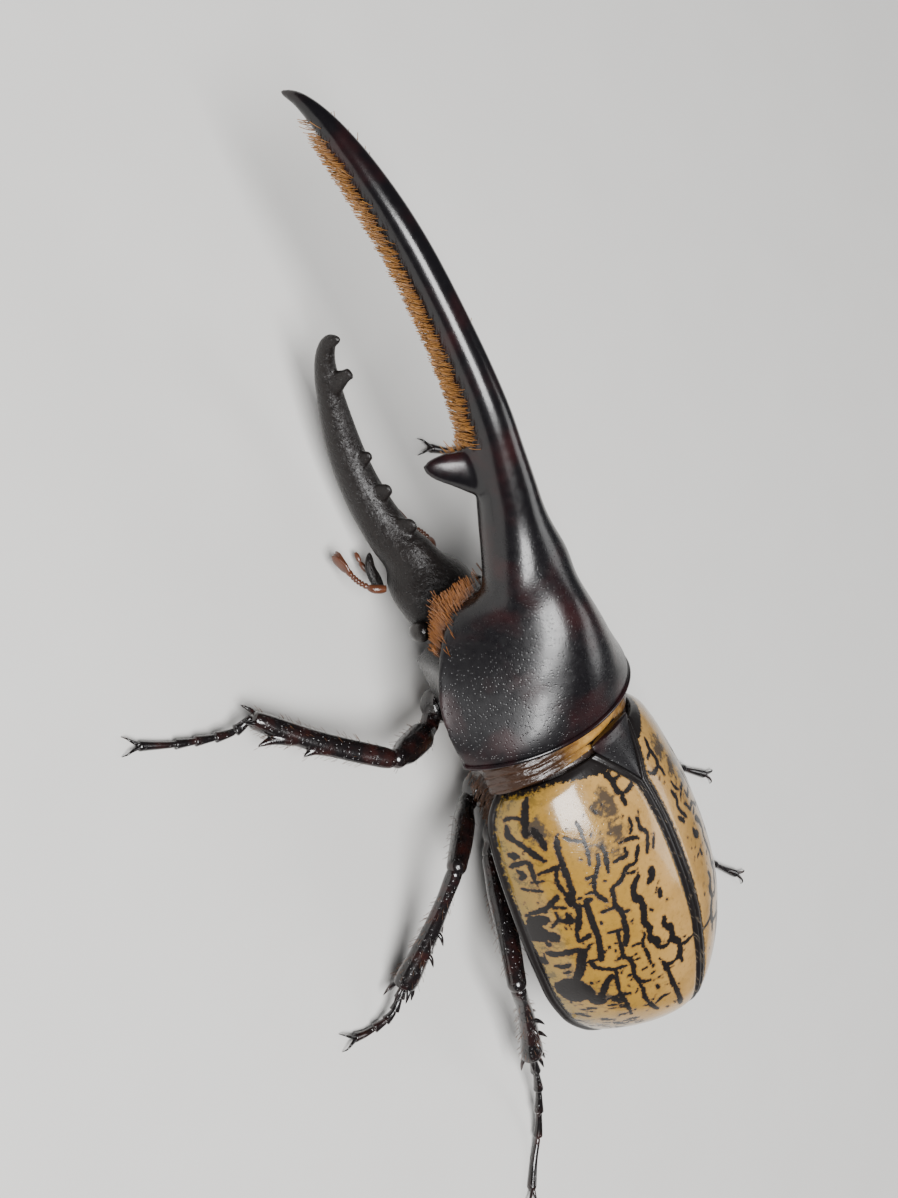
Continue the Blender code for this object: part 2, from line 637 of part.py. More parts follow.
LEGS = {
    "left_fore": dict(
        root=(5.6, 14.6), hip=(9.7, 12.4, 7.8), knee=(22.4, 14.8, 12.6), ankle=(37.6, 32.8, 4.8), femur=2.4,
        foot=((41.0, 32.4, 3.0), (48.5, 35.6, 1.2), (54.5, 39.2, 0.7))),
    "left_mid": dict(
        root=(5.6, -2.2), hip=(9.8, -2.8, 7.6), knee=(24.1, -4.9, 16.0), ankle=(35.6, -20.2, 4.4), femur=2.0,
        foot=((39.0, -23.0, 2.9), (43.0, -23.3, 1.0), (46.0, -22.2, 0.7))),
    "left_hind": dict(
        root=(5.8, -11.0), hip=(9.8, -13.4, 7.4), knee=(23.8, -28.8, 16.0), ankle=(21.4, -46.0, 8.2), femur=2.0,
        foot=((20.7, -53.3, 5.0), (21.5, -58.5, 3.0), (23.1, -62.9, 1.6), (25.7, -66.4, 0.75), (29.2, -70.2, 0.7))),
    "right_fore": dict(
        root=(-5.6, 14.6), hip=(-9.7, 12.4, 7.8), knee=(-22.5, 17.5, 12.6), ankle=(-36.5, 36.5, 4.8), femur=2.4,
        foot=((-33.5, 43.5, 2.2), (-29.0, 45.4, 0.9), (-24.4, 48.4, 0.7))),
    "right_mid": dict(
        root=(-5.6, -2.2), hip=(-9.8, -2.8, 7.6), knee=(-23.0, -10.5, 14.5), ankle=(-39.0, -25.0, 6.5), femur=2.0,
        foot=((-44.0, -30.0, 3.4), (-50.0, -35.8, 1.0), (-55.0, -40.5, 0.7))),
    "right_hind": dict(
        root=(-5.8, -11.0), hip=(-9.8, -13.4, 7.4), knee=(-26.7, -24.9, 15.0), ankle=(-34.5, -43.0, 7.6), femur=2.0,
        foot=((-39.0, -48.2, 4.6), (-44.6, -54.4, 2.2), (-48.6, -58.9, 0.9), (-51.6, -62.4, 0.7))),
}

# A fore tibia's outer teeth: share of its length, reach out, lean to the foot and root radius
FORE_TEETH = ((.45, 2.9, 4.0, 1.2), (.69, 3.4, 5.6, 1.25))
# The other tibiae's two bands of spines, by share of the length, and the spurs round each end
SPINE_BANDS = (.46, .64)
SPUR_BAND = .955
SPUR_TURNS = ((-15, 3.2), (40, 2.7), (95, 2.7), (150, 3.0), (215, 3.4), (275, 3.4))
# The five beads of a tarsus: share of its length, radius at the near end and at the far end
TARSUS_BEADS = ((.17, .66, .98), (.17, .62, .92), (.17, .6, .88), (.17, .6, .86), (.32, .58, .92))


def bisector(before, joint, after):
    """The direction square to the plane halfway between the two segments that meet at a joint."""
    return unit(unit(np.subtract(joint, before)) + unit(np.subtract(after, joint)))


def limb(name, points, stations, half_sides, half_heights, sides, finish, first=None, last=None, sole=False):
    """A segment of a leg whose ends are cut along the planes of its joints, half a gap short of them."""
    places, directions = smooth_path(points, stations)
    rings = []
    for k, centre in enumerate(places):
        rings.append(ring(centre, directions[k], half_sides[k], half_heights[k], sides))
    for end, normal, away in ((0, first, 1), (-1, last, -1)):
        if normal is None:
            continue
        inward = normal * away
        along = unit(directions[end])
        for k in range(len(rings)):
            steps = k if end == 0 else len(rings) - 1 - k
            middle = places[end] + inward * (GAP / 2 + 0.08 + 0.2 * steps)
            for i, p in enumerate(rings[k]):
                if steps == 0 or np.dot(p - middle, inward) < 0:
                    rings[k][i] = p + along * (np.dot(middle - p, normal) / np.dot(along, normal))
    if sole:
        for k, one in enumerate(rings):
            reach = SOLE_REACH if k >= len(rings) - 3 else 0.0
            rings[k] = [(p[0], p[1], 0.0 if p[2] < reach else max(p[2], 0.0)) for p in one]
    return loft(name, rings, finish)


def make_leg(word, spec):
    side = 1 if spec["hip"][0] > 0 else -1
    fore = word.endswith("fore")
    hip, knee, ankle = (np.array(spec[key]) for key in ("hip", "knee", "ankle"))
    foot = [np.array(point) for point in spec["foot"]]
    root = np.array([*spec["root"], 7.3])
    hip_plane = bisector(root, hip, knee)
    knee_plane = bisector(hip, knee, ankle)
    ankle_plane = bisector(knee, ankle, foot[0])

    # Coxa, a barrel under the body, with the small ring that carries the femur
    barrel = []
    for up, radius in ((UNDERSIDE - GAP, 2.9), (8.2, 3.1), (7.0, 2.9), (6.0, 2.2), (5.4, 1.0)):
        barrel.append(ring((root[0], root[1], up), (0, 0, 1), radius, radius, 12, lift=(0, 1, 0)))
    coxa = loft("coxa_" + word, barrel, RED_BLACK)
    neck = limb("neck", [root, (root + hip) / 2, hip], [0, .5, 1], [1.7, 1.7, 1.5], [1.6, 1.6, 1.5], 10, RED_BLACK,
                last=hip_plane)
    fuse(coxa, [neck])

    # Femur
    thick = spec["femur"]
    sag = (hip + knee) / 2 + np.array([0, 0, 0.35])
    limb("femur_" + word, [hip, sag, knee], [0, .14, .3, .48, .66, .84, 1],
         [1.4, 1.7, thick, thick, thick * .92, 1.65, 1.45],
         [1.45, 1.6, thick * .9, thick * .95, thick * .85, 1.6, 1.5], 10, RED_BLACK, hip_plane, knee_plane)

    # Tibia, widening to a spined end
    along = unit(ankle - knee)
    across = unit(np.cross(along, (0, 0, 1))) * side
    rise = np.cross(across, along) * side
    bow = (knee + ankle) / 2 + across * 0.6
    wide = [1.4, 1.3, 1.25, 1.45, 1.65, 1.9, 2.15, 2.1, 1.6]
    if fore:
        wide = [1.45, 1.7, 1.75, 1.75, 1.7, 1.65, 1.6, 1.5, 1.3]
    tibia = limb("tibia_" + word, [knee, bow, ankle], [0, .1, .25, .42, .6, .77, .9, .965, 1], wide,
                 [1.45, 1.35, 1.25, 1.35, 1.5, 1.65, 1.85, 1.8, 1.5], 10, RED_BLACK, knee_plane, ankle_plane)
    spines = []
    if fore:
        line, _ = smooth_path([knee, bow, ankle], [tooth_spec[0] for tooth_spec in FORE_TEETH])
        for spot, (_, reach, lean, size) in zip(line, FORE_TEETH):
            spines.append(spike("tooth", spot + across * 0.6, spot + across * reach + along * lean, size, RED_BLACK,
                                sides=6, bend=along * 0.4 - across * 0.3))
        turns = ((205 if np.dot(foot[0] - ankle, across) > 0 else -40, 2.8), (60, 3.2))
    else:
        line, _ = smooth_path([knee, bow, ankle], SPINE_BANDS)
        for spot in line:
            for turn in (0, 55, 110):
                a = math.radians(turn)
                out = across * math.cos(a) + rise * math.sin(a)
                start = spot + along * (turn / 55) * 0.9
                spines.append(spike("spine", start + out * 0.7, start + out * 2.7 + along * 1.7, .55, RED_BLACK))
        turns = SPUR_TURNS
    end_spot = smooth_path([knee, bow, ankle], [SPUR_BAND])[0][0]
    for turn, reach in turns:
        a = math.radians(turn)
        out = across * math.cos(a) + rise * math.sin(a)
        spines.append(spike("spur", end_spot + out * 0.9, end_spot + out * reach * 0.75 + along * reach, .55,
                            RED_BLACK))
    fuse(tibia, spines)

    # Tarsus of five beads, the last one flat on the floor, with two claws
    stations, sizes = [], []
    start = 0.0
    for length, near, far in TARSUS_BEADS:
        stations += [start, start + length * 0.5, start + length * 0.9]
        sizes += [near, (near + far) / 2 + .04, far]
        start += length
    stations[-1] = 0.95
    stations.append(1.0)
    sizes.append(.62)
    tarsus = limb("tarsus_" + word, [ankle] + foot, stations, sizes, sizes, 8, RED_BLACK, first=ankle_plane,
                  sole=True)
    end = foot[-1]
    ahead = end - foot[-2]
    ahead = unit((ahead[0], ahead[1], 0))
    claws = []
    for turn in (-32, 32):
        a = math.radians(turn)
        out = np.array([ahead[0] * math.cos(a) - ahead[1] * math.sin(a),
                        ahead[0] * math.sin(a) + ahead[1] * math.cos(a), 0])
        claws.append(tube("claw", [end - ahead * 0.6, end + out * 1.3 + (0, 0, .25), end + out * 2.7 + (0, 0, -.55)],
                          [0, .35, .7, 1], [.5, .45, .34, .14], [.5, .45, .34, .14], 6, RED_BLACK, floor=0.12))
    fuse(tarsus, claws)


make_trunk()
make_pronotum()
make_thoracic_horn()
make_head()
make_cephalic_horn()
make_face()
for leg_name, leg_spec in LEGS.items():
    make_leg(leg_name, leg_spec)
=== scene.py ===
"""A large male hercules beetle as a still, life-size model on its six feet.

Sizes are millimetres in the beetle's own terms: left of its middle plane, forward of a line across the
shoulders of the wing covers, and up from the floor. The head faces -Y and the left side is +X.
"""
import math

import bmesh
import bpy
import numpy as np
from mathutils import Matrix, Vector


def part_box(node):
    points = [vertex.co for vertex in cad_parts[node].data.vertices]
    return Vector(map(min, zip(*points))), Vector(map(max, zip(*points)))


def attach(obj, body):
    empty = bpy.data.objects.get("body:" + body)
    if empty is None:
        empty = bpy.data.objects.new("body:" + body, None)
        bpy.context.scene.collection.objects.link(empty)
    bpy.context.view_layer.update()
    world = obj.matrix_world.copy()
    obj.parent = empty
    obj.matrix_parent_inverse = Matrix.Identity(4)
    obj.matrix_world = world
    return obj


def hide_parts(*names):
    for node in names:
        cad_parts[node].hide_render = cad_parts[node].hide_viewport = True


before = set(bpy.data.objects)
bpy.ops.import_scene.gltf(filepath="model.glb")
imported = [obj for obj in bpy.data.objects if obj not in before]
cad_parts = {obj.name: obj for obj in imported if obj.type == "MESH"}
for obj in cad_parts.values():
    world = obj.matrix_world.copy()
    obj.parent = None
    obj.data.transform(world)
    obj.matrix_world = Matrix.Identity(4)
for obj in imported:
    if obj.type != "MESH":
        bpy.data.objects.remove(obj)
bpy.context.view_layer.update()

# Wing covers. Two stiff, domed shells of hard, waxy skin, each hinged at its shoulder and shut along the
# middle of the back. They are tan with black cracks and blots, a black rim and a black seam, and their
# edges are rolled into a fine bead.
MM = 0.001
COVER_FRONT = 3.3
COVER_END = -50.6
COVER_HALF_WIDTH = 21.0
COVER_THICKNESS = 1.1
DOME_POWER = 0.98
SEAM_GAP = 0.10
SCUTELLUM_TIP = -4.7
SCUTELLUM_BASE = 4.1
SCUTELLUM_HALF_WIDTH = 5.0
COVER_ROWS = 230
COVER_COLUMNS = 130
RIGHT_CRACKS_SHIFT = 1.4
CRACK_STEP = 0.18
# A crack is its width in millimetres and the spots that it runs through. A stain is its spot, its size in
# millimetres and its strength. A spot is millimetres back from the front edge of the cover, and tenths of
# the way from its rim to its seam.
CRACKS = (
    (1.1, (1.0, 2.7), (3.3, 2.65), (6.3, 2.45)),
    (1.3, (5.5, 3.0), (7.5, 3.25), (9.0, 3.3)),
    (0.5, (3.0, 1.1), (3.0, 1.9), (3.6, 2.5)),
    (0.9, (4.1, 1.35), (5.5, 1.4), (7.0, 1.9), (8.2, 2.3), (9.7, 2.65), (11.0, 3.05)),
    (1.2, (5.6, 1.3), (6.3, 1.6)),
    (1.2, (8.8, 1.15), (9.2, 1.6)),
    (0.8, (10.8, 0.9), (10.4, 1.5), (10.6, 2.1), (12.2, 2.15), (13.8, 2.1)),
    (0.9, (11.5, 1.3), (12.5, 1.6), (13.0, 1.3)),
    (0.6, (12.9, 2.2), (12.7, 3.0), (12.4, 3.95)),
    (0.5, (14.0, 1.9), (14.2, 2.6)),
    (0.6, (14.8, 1.2), (15.3, 1.7), (15.8, 2.3)),
    (1.0, (7.9, 4.1), (10.0, 3.95), (12.2, 3.9), (14.6, 3.85), (17.2, 3.8), (18.9, 3.65), (20.6, 3.8),
     (22.3, 3.65), (24.3, 3.35)),
    (2.0, (18.0, 3.6), (19.3, 3.55)),
    (0.7, (12.8, 3.6), (13.8, 3.35), (15.2, 3.25), (16.5, 3.35), (18.0, 3.5)),
    (0.6, (7.2, 5.4), (9.0, 5.45), (11.2, 5.35), (13.0, 5.3), (14.4, 5.15)),
    (0.5, (8.6, 4.5), (9.8, 5.0), (10.4, 5.35)),
    (0.6, (12.6, 6.1), (13.7, 6.1), (15.4, 6.0), (17.0, 5.9)),
    (0.7, (13.4, 5.75), (15.3, 5.5), (16.8, 5.1), (17.8, 5.0), (19.2, 4.9), (20.2, 5.05), (21.5, 5.3)),
    (0.5, (16.3, 4.7), (16.3, 5.0)),
    (0.5, (18.7, 4.45), (18.9, 4.85)),
    (0.5, (19.0, 3.95), (19.0, 4.15)),
    (0.8, (2.7, 8.0), (4.6, 8.25), (6.4, 8.2), (7.3, 8.4), (8.0, 8.3), (9.2, 8.3)),
    (0.6, (4.7, 8.4), (4.9, 8.85)),
    (0.7, (7.3, 8.4), (7.5, 8.75), (7.3, 9.15), (6.6, 9.35)),
    (0.8, (12.0, 8.5), (12.9, 8.45), (13.9, 8.4), (14.9, 8.6), (15.9, 8.55), (17.0, 8.35), (17.9, 8.2)),
    (1.1, (12.1, 8.5), (12.5, 8.5)),
    (0.7, (16.3, 8.95), (17.9, 8.6)),
    (0.6, (11.2, 8.1), (12.5, 8.0), (13.4, 7.75)),
    (0.5, (13.7, 7.0), (13.9, 7.4), (14.5, 7.9), (15.0, 8.05)),
    (0.7, (16.0, 7.85), (16.8, 7.65), (18.0, 7.4), (17.9, 6.9), (18.5, 6.6), (19.4, 6.3), (19.8, 5.8),
     (21.3, 5.7), (22.9, 5.6)),
    (0.6, (15.9, 6.3), (16.0, 6.7), (16.1, 7.1), (15.0, 7.15)),
    (0.6, (18.9, 6.75), (19.2, 7.0), (19.2, 7.3)),
    (1.0, (22.9, 5.6), (24.4, 5.8), (26.3, 5.75), (28.2, 5.7), (30.2, 5.45)),
    (0.6, (23.0, 5.55), (22.9, 5.1), (22.7, 4.8)),
    (0.7, (24.6, 5.9), (24.8, 6.2)),
    (1.1, (20.4, 7.25), (21.2, 6.9), (22.2, 6.75), (23.4, 6.7), (24.2, 6.9), (25.3, 6.95), (26.8, 6.85),
     (28.4, 6.75), (29.8, 6.9), (31.3, 6.8), (32.2, 6.9), (32.7, 7.1), (33.8, 7.05)),
    (0.8, (34.3, 7.15), (34.8, 7.45), (34.9, 7.7)),
    (1.3, (20.8, 8.05), (21.9, 7.95), (22.5, 7.65)),
    (1.0, (24.9, 8.1), (25.9, 8.0)),
    (0.6, (26.9, 7.25), (27.2, 7.35)),
    (1.1, (29.8, 7.85), (30.9, 7.75), (31.9, 7.9), (32.5, 8.1), (33.8, 8.05), (34.6, 8.0), (36.0, 8.35),
     (37.4, 8.35), (38.5, 8.3), (38.8, 8.0)),
    (0.6, (34.6, 8.0), (34.3, 7.7)),
    (0.7, (37.0, 8.4), (37.3, 8.8), (37.4, 9.2), (37.5, 9.6)),
    (0.7, (38.9, 8.0), (38.9, 7.6), (38.5, 7.4)),
    (0.8, (38.6, 8.3), (40.3, 8.35)),
    (0.9, (37.3, 7.1), (38.6, 7.25), (40.6, 7.35), (42.4, 7.4), (44.3, 7.5), (46.5, 7.6), (49.6, 7.6)),
    (0.65, (30.4, 6.55), (31.2, 6.35), (32.3, 6.3), (33.9, 6.4), (36.1, 6.45)),
    (0.5, (31.5, 6.3), (31.2, 6.0), (31.2, 5.75)),
    (0.7, (27.3, 5.3), (29.0, 5.2), (30.5, 5.2), (32.0, 5.15), (33.2, 5.4), (34.8, 5.5), (36.4, 5.4),
     (37.9, 5.55), (38.9, 5.8), (39.4, 6.15)),
    (0.7, (37.9, 5.55), (40.5, 5.6), (42.5, 5.55), (45.5, 5.7), (47.0, 5.9)),
    (0.6, (45.1, 6.0), (44.6, 6.5), (44.9, 7.0)),
    (0.6, (26.8, 4.85), (27.0, 5.1), (27.1, 5.45)),
    (0.5, (32.0, 5.1), (32.2, 4.7)),
    (0.6, (33.6, 4.6), (34.0, 5.1)),
    (0.6, (36.2, 5.05), (36.1, 5.25)),
    (0.8, (30.6, 3.4), (32.0, 3.6), (33.0, 4.1), (33.7, 4.55)),
    (0.7, (33.7, 4.55), (35.2, 4.5), (37.2, 4.4), (39.2, 4.35), (40.6, 4.4), (43.2, 4.4), (45.0, 4.3)),
    (0.6, (39.2, 3.6), (39.2, 4.2), (39.9, 4.85)),
    (1.1, (34.7, 4.3), (35.2, 4.0), (36.2, 3.75), (37.5, 3.45), (38.8, 3.2)),
    (1.0, (19.9, 4.55), (20.0, 4.3), (22.1, 4.25), (24.3, 4.25), (26.0, 4.25), (28.0, 4.2), (29.7, 4.1),
     (31.0, 4.0)),
    (0.6, (20.1, 3.8), (20.6, 4.2)),
    (0.8, (24.5, 3.3), (25.5, 3.25), (26.2, 3.3), (25.7, 3.95)),
    (0.6, (19.2, 2.55), (19.3, 2.85), (19.8, 3.15)),
    (0.9, (17.4, 3.0), (18.2, 2.6), (18.9, 2.2), (19.3, 1.65), (19.5, 1.1)),
    (0.6, (20.1, 2.6), (21.3, 2.6), (22.1, 2.3), (22.6, 2.1)),
    (0.9, (20.9, 3.15), (22.3, 3.2), (21.8, 2.75)),
    (0.8, (19.7, 0.85), (19.7, 1.0)),
    (1.7, (21.0, 0.9), (20.9, 2.0)),
    (3.0, (22.8, 0.2), (23.3, 1.2), (23.4, 1.5)),
    (2.6, (24.2, 1.85), (24.5, 2.1)),
    (1.3, (25.4, 1.5), (25.7, 1.6)),
    (1.1, (27.2, 1.3), (27.7, 1.9), (27.7, 2.5), (27.8, 3.0), (28.4, 3.4)),
    (1.6, (28.3, 0.7), (28.8, 1.0)),
    (1.0, (29.9, 1.5), (30.3, 1.85), (30.2, 2.3)),
    (0.6, (31.5, 1.8), (31.5, 2.3)),
    (1.3, (28.3, 3.35), (29.4, 3.05), (31.0, 2.85), (32.4, 2.55), (33.3, 2.35)),
    (0.5, (27.5, 3.6), (27.4, 3.9)),
    (1.0, (28.2, 3.5), (28.0, 3.65)),
    (0.7, (30.5, 3.35), (30.6, 3.85)),
    (4.5, (34.6, 1.3), (35.5, 2.0), (36.5, 2.6)),
    (2.5, (38.0, 2.8), (39.2, 3.2)),
    (1.0, (34.6, 3.1), (34.8, 3.1)),
    (0.6, (24.4, 4.65), (24.7, 4.65)),
    (0.6, (29.1, 4.6), (29.4, 4.6)),
    (0.5, (29.6, 4.35), (29.9, 4.35)),
    (0.5, (30.3, 4.85), (30.6, 4.85)),
    (0.5, (32.9, 5.6), (32.9, 5.8)),
    (0.5, (33.8, 5.7), (33.8, 5.9)),
    (0.55, (36.4, 5.95), (36.4, 6.15)),
    (0.6, (36.7, 6.55), (37.0, 6.55)),
    (0.5, (38.2, 6.35), (38.2, 6.5)),
    (0.5, (39.9, 6.65), (39.9, 6.9)),
    (0.6, (41.0, 6.4), (42.2, 6.5)),
    (0.5, (37.9, 4.95), (38.2, 4.95)),
)
STAINS = (
    (7.2, 7.3, 2.4, 0.85),
    (11.3, 7.1, 2.3, 0.75),
    (14.0, 6.7, 1.8, 0.6),
    (11.6, 6.0, 1.9, 0.6),
    (6.0, 3.2, 2.2, 0.75),
    (22.0, 3.0, 1.6, 0.4),
    (31.5, 2.2, 1.9, 0.5),
    (38.0, 3.6, 2.2, 0.5),
)
shield_low, shield_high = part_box("scutellum")
MIDDLE_X = (shield_low.x + shield_high.x) / 2
SHOULDER_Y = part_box("wing_cover_left")[0].y + COVER_FRONT * MM


def place(points):
    """World places in metres of points given left, forward and up in millimetres."""
    left, forward, up = np.moveaxis(np.asarray(points, float), -1, 0)
    return np.stack([MIDDLE_X + left * MM, SHOULDER_Y - forward * MM, up * MM], -1)


def curve(x, *knots):
    """A smooth curve through (x, y) knots that never overshoots them, level outside its ends."""
    xs, ys = np.array(knots, float).T
    slope = np.diff(ys) / np.diff(xs)
    tangent = np.zeros(len(xs))
    tangent[0], tangent[-1] = slope[0], slope[-1]
    for i in range(1, len(xs) - 1):
        if slope[i - 1] * slope[i] > 0:
            tangent[i] = 2 * slope[i - 1] * slope[i] / (slope[i - 1] + slope[i])
    i = np.clip(np.searchsorted(xs, x) - 1, 0, len(xs) - 2)
    h = xs[i + 1] - xs[i]
    t = np.clip((x - xs[i]) / h, 0, 1)
    return ((1 + 2 * t) * (1 - t) ** 2 * ys[i] + t * (1 - t) ** 2 * h * tangent[i]
            + t * t * (3 - 2 * t) * ys[i + 1] + t * t * (t - 1) * h * tangent[i + 1])


def unit(v):
    v = np.asarray(v, float)
    return v / np.linalg.norm(v, axis=-1, keepdims=True)


def piece(name, points, faces, paint):
    """A smooth mesh object from points in beetle terms, its faces turned outwards."""
    mesh = bpy.data.meshes.new(name)
    mesh.from_pydata(place(points).tolist(), [], faces)
    work = bmesh.new()
    work.from_mesh(mesh)
    bmesh.ops.recalc_face_normals(work, faces=work.faces)
    work.to_mesh(mesh)
    work.free()
    mesh.shade_smooth()
    mesh.materials.append(paint)
    made = bpy.data.objects.new(name, mesh)
    bpy.context.scene.collection.objects.link(made)
    return made


def grid_faces(rows, columns, first=0, around=False):
    """Quads between the points of a grid, numbered row by row from first."""
    faces = []
    for r in range(rows - 1):
        for c in range(columns if around else columns - 1):
            a = first + r * columns + c
            b = first + r * columns + (c + 1) % columns
            faces.append((a, b, b + columns, a + columns))
    return faces


class Wire:
    """An output of a node tree, so that the tree's maths reads as an expression."""

    def __init__(self, tree, socket=None):
        self.tree = tree
        self.socket = socket

    def node(self, kind, settings=(), values=(), out=0):
        """Adds a node, its settings first and then its sockets, and gives one of its outputs."""
        made = self.tree.nodes.new(kind)
        for name, value in dict(settings).items():
            if name == "stops":
                while len(made.color_ramp.elements) < len(value):
                    made.color_ramp.elements.new(0.5)
                for stop, (position, colour) in zip(made.color_ramp.elements, value):
                    stop.position = position
                    stop.color = (*colour, 1.0)
            else:
                setattr(made, name, value)
        for name, value in dict(values).items():
            if isinstance(value, Wire):
                self.tree.links.new(value.socket, made.inputs[name])
            else:
                made.inputs[name].default_value = value
        return Wire(self.tree, made.outputs[out])

    def maths(self, operation, *operands):
        return self.node("ShaderNodeMath", {"operation": operation}, dict(enumerate(operands)))

    def __add__(self, other):
        return self.maths("ADD", self, other)

    def __radd__(self, other):
        return self.maths("ADD", other, self)

    def __sub__(self, other):
        return self.maths("SUBTRACT", self, other)

    def __rsub__(self, other):
        return self.maths("SUBTRACT", other, self)

    def __mul__(self, other):
        return self.maths("MULTIPLY", self, other)

    def __rmul__(self, other):
        return self.maths("MULTIPLY", other, self)

    def at_least(self, other):
        return self.maths("MAXIMUM", self, other)

    def rising(self, low, high):
        """0 below low and 1 above high, with a soft step between; falls instead if low is above high."""
        return self.node("ShaderNodeMapRange", {"interpolation_type": "SMOOTHSTEP"},
                         {"Value": self, "From Min": low, "From Max": high})

    def mix(self, low, high):
        """The colour low where this is 0 and high where it is 1."""
        ends = [end if isinstance(end, Wire) else (*end, 1.0) for end in (low, high)]
        return self.node("ShaderNodeMix", {"data_type": "RGBA"}, {0: self, 6: ends[0], 7: ends[1]}, out=2)

    def stretched(self, sizes):
        """A place multiplied by three numbers."""
        return self.node("ShaderNodeVectorMath", {"operation": "MULTIPLY"}, {0: self, 1: sizes})

    def noise(self, scale, detail=2.0, roughness=0.5, distortion=0.0):
        """Cloudy values from 0 to 1 with about scale clouds to each unit of this place."""
        return self.node("ShaderNodeTexNoise", {}, {"Vector": self, "Scale": scale, "Detail": detail,
                                                    "Roughness": roughness, "Distortion": distortion})

    def cells(self, scale):
        """Distance to the nearest of points scattered about scale to each unit of this place."""
        return self.node("ShaderNodeTexVoronoi", {}, {"Vector": self, "Scale": scale})

    def into(self, socket):
        self.tree.links.new(self.socket, socket)


def new_paint(name, roughness, coat=0.0):
    """A material with its shader and its surface's places in millimetres."""
    made = bpy.data.materials.new(name)
    made.use_nodes = True
    shader = made.node_tree.nodes["Principled BSDF"]
    shader.inputs["Roughness"].default_value = roughness
    shader.inputs["Coat Weight"].default_value = coat
    shader.inputs["Coat Roughness"].default_value = 0.08
    places = Wire(made.node_tree).node("ShaderNodeTexCoord", out="Object")
    return made, shader, places.stretched((1 / MM, 1 / MM, 1 / MM))


def relief(height, shader, depth):
    """Feeds a height from 0 to 1 to a shader's normal as a bump of that depth in millimetres."""
    height.node("ShaderNodeBump", {}, {"Strength": 1.0, "Distance": depth * MM, "Height": height}).into(
        shader.inputs["Normal"])


def cover_half_width(forward):
    share = (COVER_FRONT - forward) / (COVER_FRONT - COVER_END)
    return COVER_HALF_WIDTH * curve(share, (0, .70), (.02, .80), (.06, .88), (.15, .94), (.3, .98), (.5, 1.0),
                                    (.65, .985), (.78, .90), (.88, .73), (.95, .50), (.985, .27), (1, .10))


def cover_top(forward):
    return curve(forward, (COVER_END, 21.5), (-49.8, 26.0), (-47.9, 29.0), (-43.6, 31.8), (-37.1, 34.6),
                 (-29.0, 37.1), (-20.9, 38.4), (-12.9, 38.9), (-3.2, 38.0), (COVER_FRONT, 36.6))


def cover_margin(forward):
    return curve(forward, (COVER_END, 15.4), (-42.5, 16.4), (-29.0, 18.2), (-12.9, 19.9), (-2.1, 21.1),
                 (COVER_FRONT, 22.6))


def seam_left(forward):
    """How far the inner edge of a wing cover is from the middle plane."""
    open_share = np.clip((forward - SCUTELLUM_TIP) / (SCUTELLUM_BASE - SCUTELLUM_TIP), 0, 1)
    return SEAM_GAP / 2 + SCUTELLUM_HALF_WIDTH * open_share


def cover_at(forward, angle):
    """Points of the left cover's smooth outer side, at angles from 0 at its rim to a right angle on top."""
    up = cover_margin(forward) + (cover_top(forward) - cover_margin(forward)) * np.sin(angle) ** DOME_POWER
    return np.stack([cover_half_width(forward) * np.cos(angle), forward, up], -1)


def cover_points(forward, share):
    """Points of the left cover's outer side; share runs from 0 at the rim to 1 at the seam."""
    seam_angle = np.arccos(np.minimum(0.98, seam_left(forward) / cover_half_width(forward)))
    return cover_at(forward, share * seam_angle)


def distances(points, axis):
    """Length along a grid of points from its first line, along rows (axis 0) or columns (axis 1)."""
    steps = np.linalg.norm(np.diff(points, axis=axis), axis=-1)
    start = np.zeros_like(np.take(steps, [0], axis))
    return np.concatenate([start, np.cumsum(steps, axis)], axis)


def grid_normals(points):
    """Unit normals of a grid of points, from the differences along its rows and columns."""
    return unit(np.cross(np.gradient(points, axis=0), np.gradient(points, axis=1)) + 1e-12)


def near(distance, width):
    """A soft hump that is 1 at distance 0 and fades over about width."""
    return np.exp(-(distance / width) ** 2)


def store(mesh, name, values, kind="FLOAT"):
    """Keeps one number, or one FLOAT_VECTOR, for each of a mesh's points."""
    field = mesh.attributes.new(name, kind, "POINT").data
    field.foreach_set("value" if kind == "FLOAT" else "vector", np.asarray(values, np.float32).ravel())


back_shares = np.linspace(0, 1, COVER_ROWS)
back_shares -= 0.07 * np.sin(2 * math.pi * back_shares) / (2 * math.pi)
forward_grid, share_grid = np.meshgrid(COVER_FRONT - back_shares * (COVER_FRONT - COVER_END),
                                       np.linspace(0, 1, COVER_COLUMNS), indexing="ij")
cover = cover_points(forward_grid, share_grid)
from_rim = distances(cover, 1)
from_seam = from_rim[:, -1:] - from_rim
from_front = np.broadcast_to(COVER_FRONT - forward_grid, from_rim.shape)
outward = grid_normals(cover)
outward *= np.sign(outward[COVER_ROWS // 2, COVER_COLUMNS // 2, 2])
swell = 0.28 * near(from_rim - 0.45, 0.4) - 0.22 * near(from_rim - 1.3, 0.45)
swell += 0.16 * near(from_seam - 0.5, 0.4) - 0.12 * near(from_seam - 1.25, 0.35)
outside = cover + outward * swell[..., None]
inside = cover - outward * COVER_THICKNESS
outside[..., 2] -= 0.175 * near(from_rim, 0.5)


def on_cover(spots):
    """Points of the left cover given as millimetres back from its front edge and tenths from rim to seam."""
    back, tenths = np.asarray(spots, float).T
    return cover_at(COVER_FRONT - back, tenths * math.pi / 20)


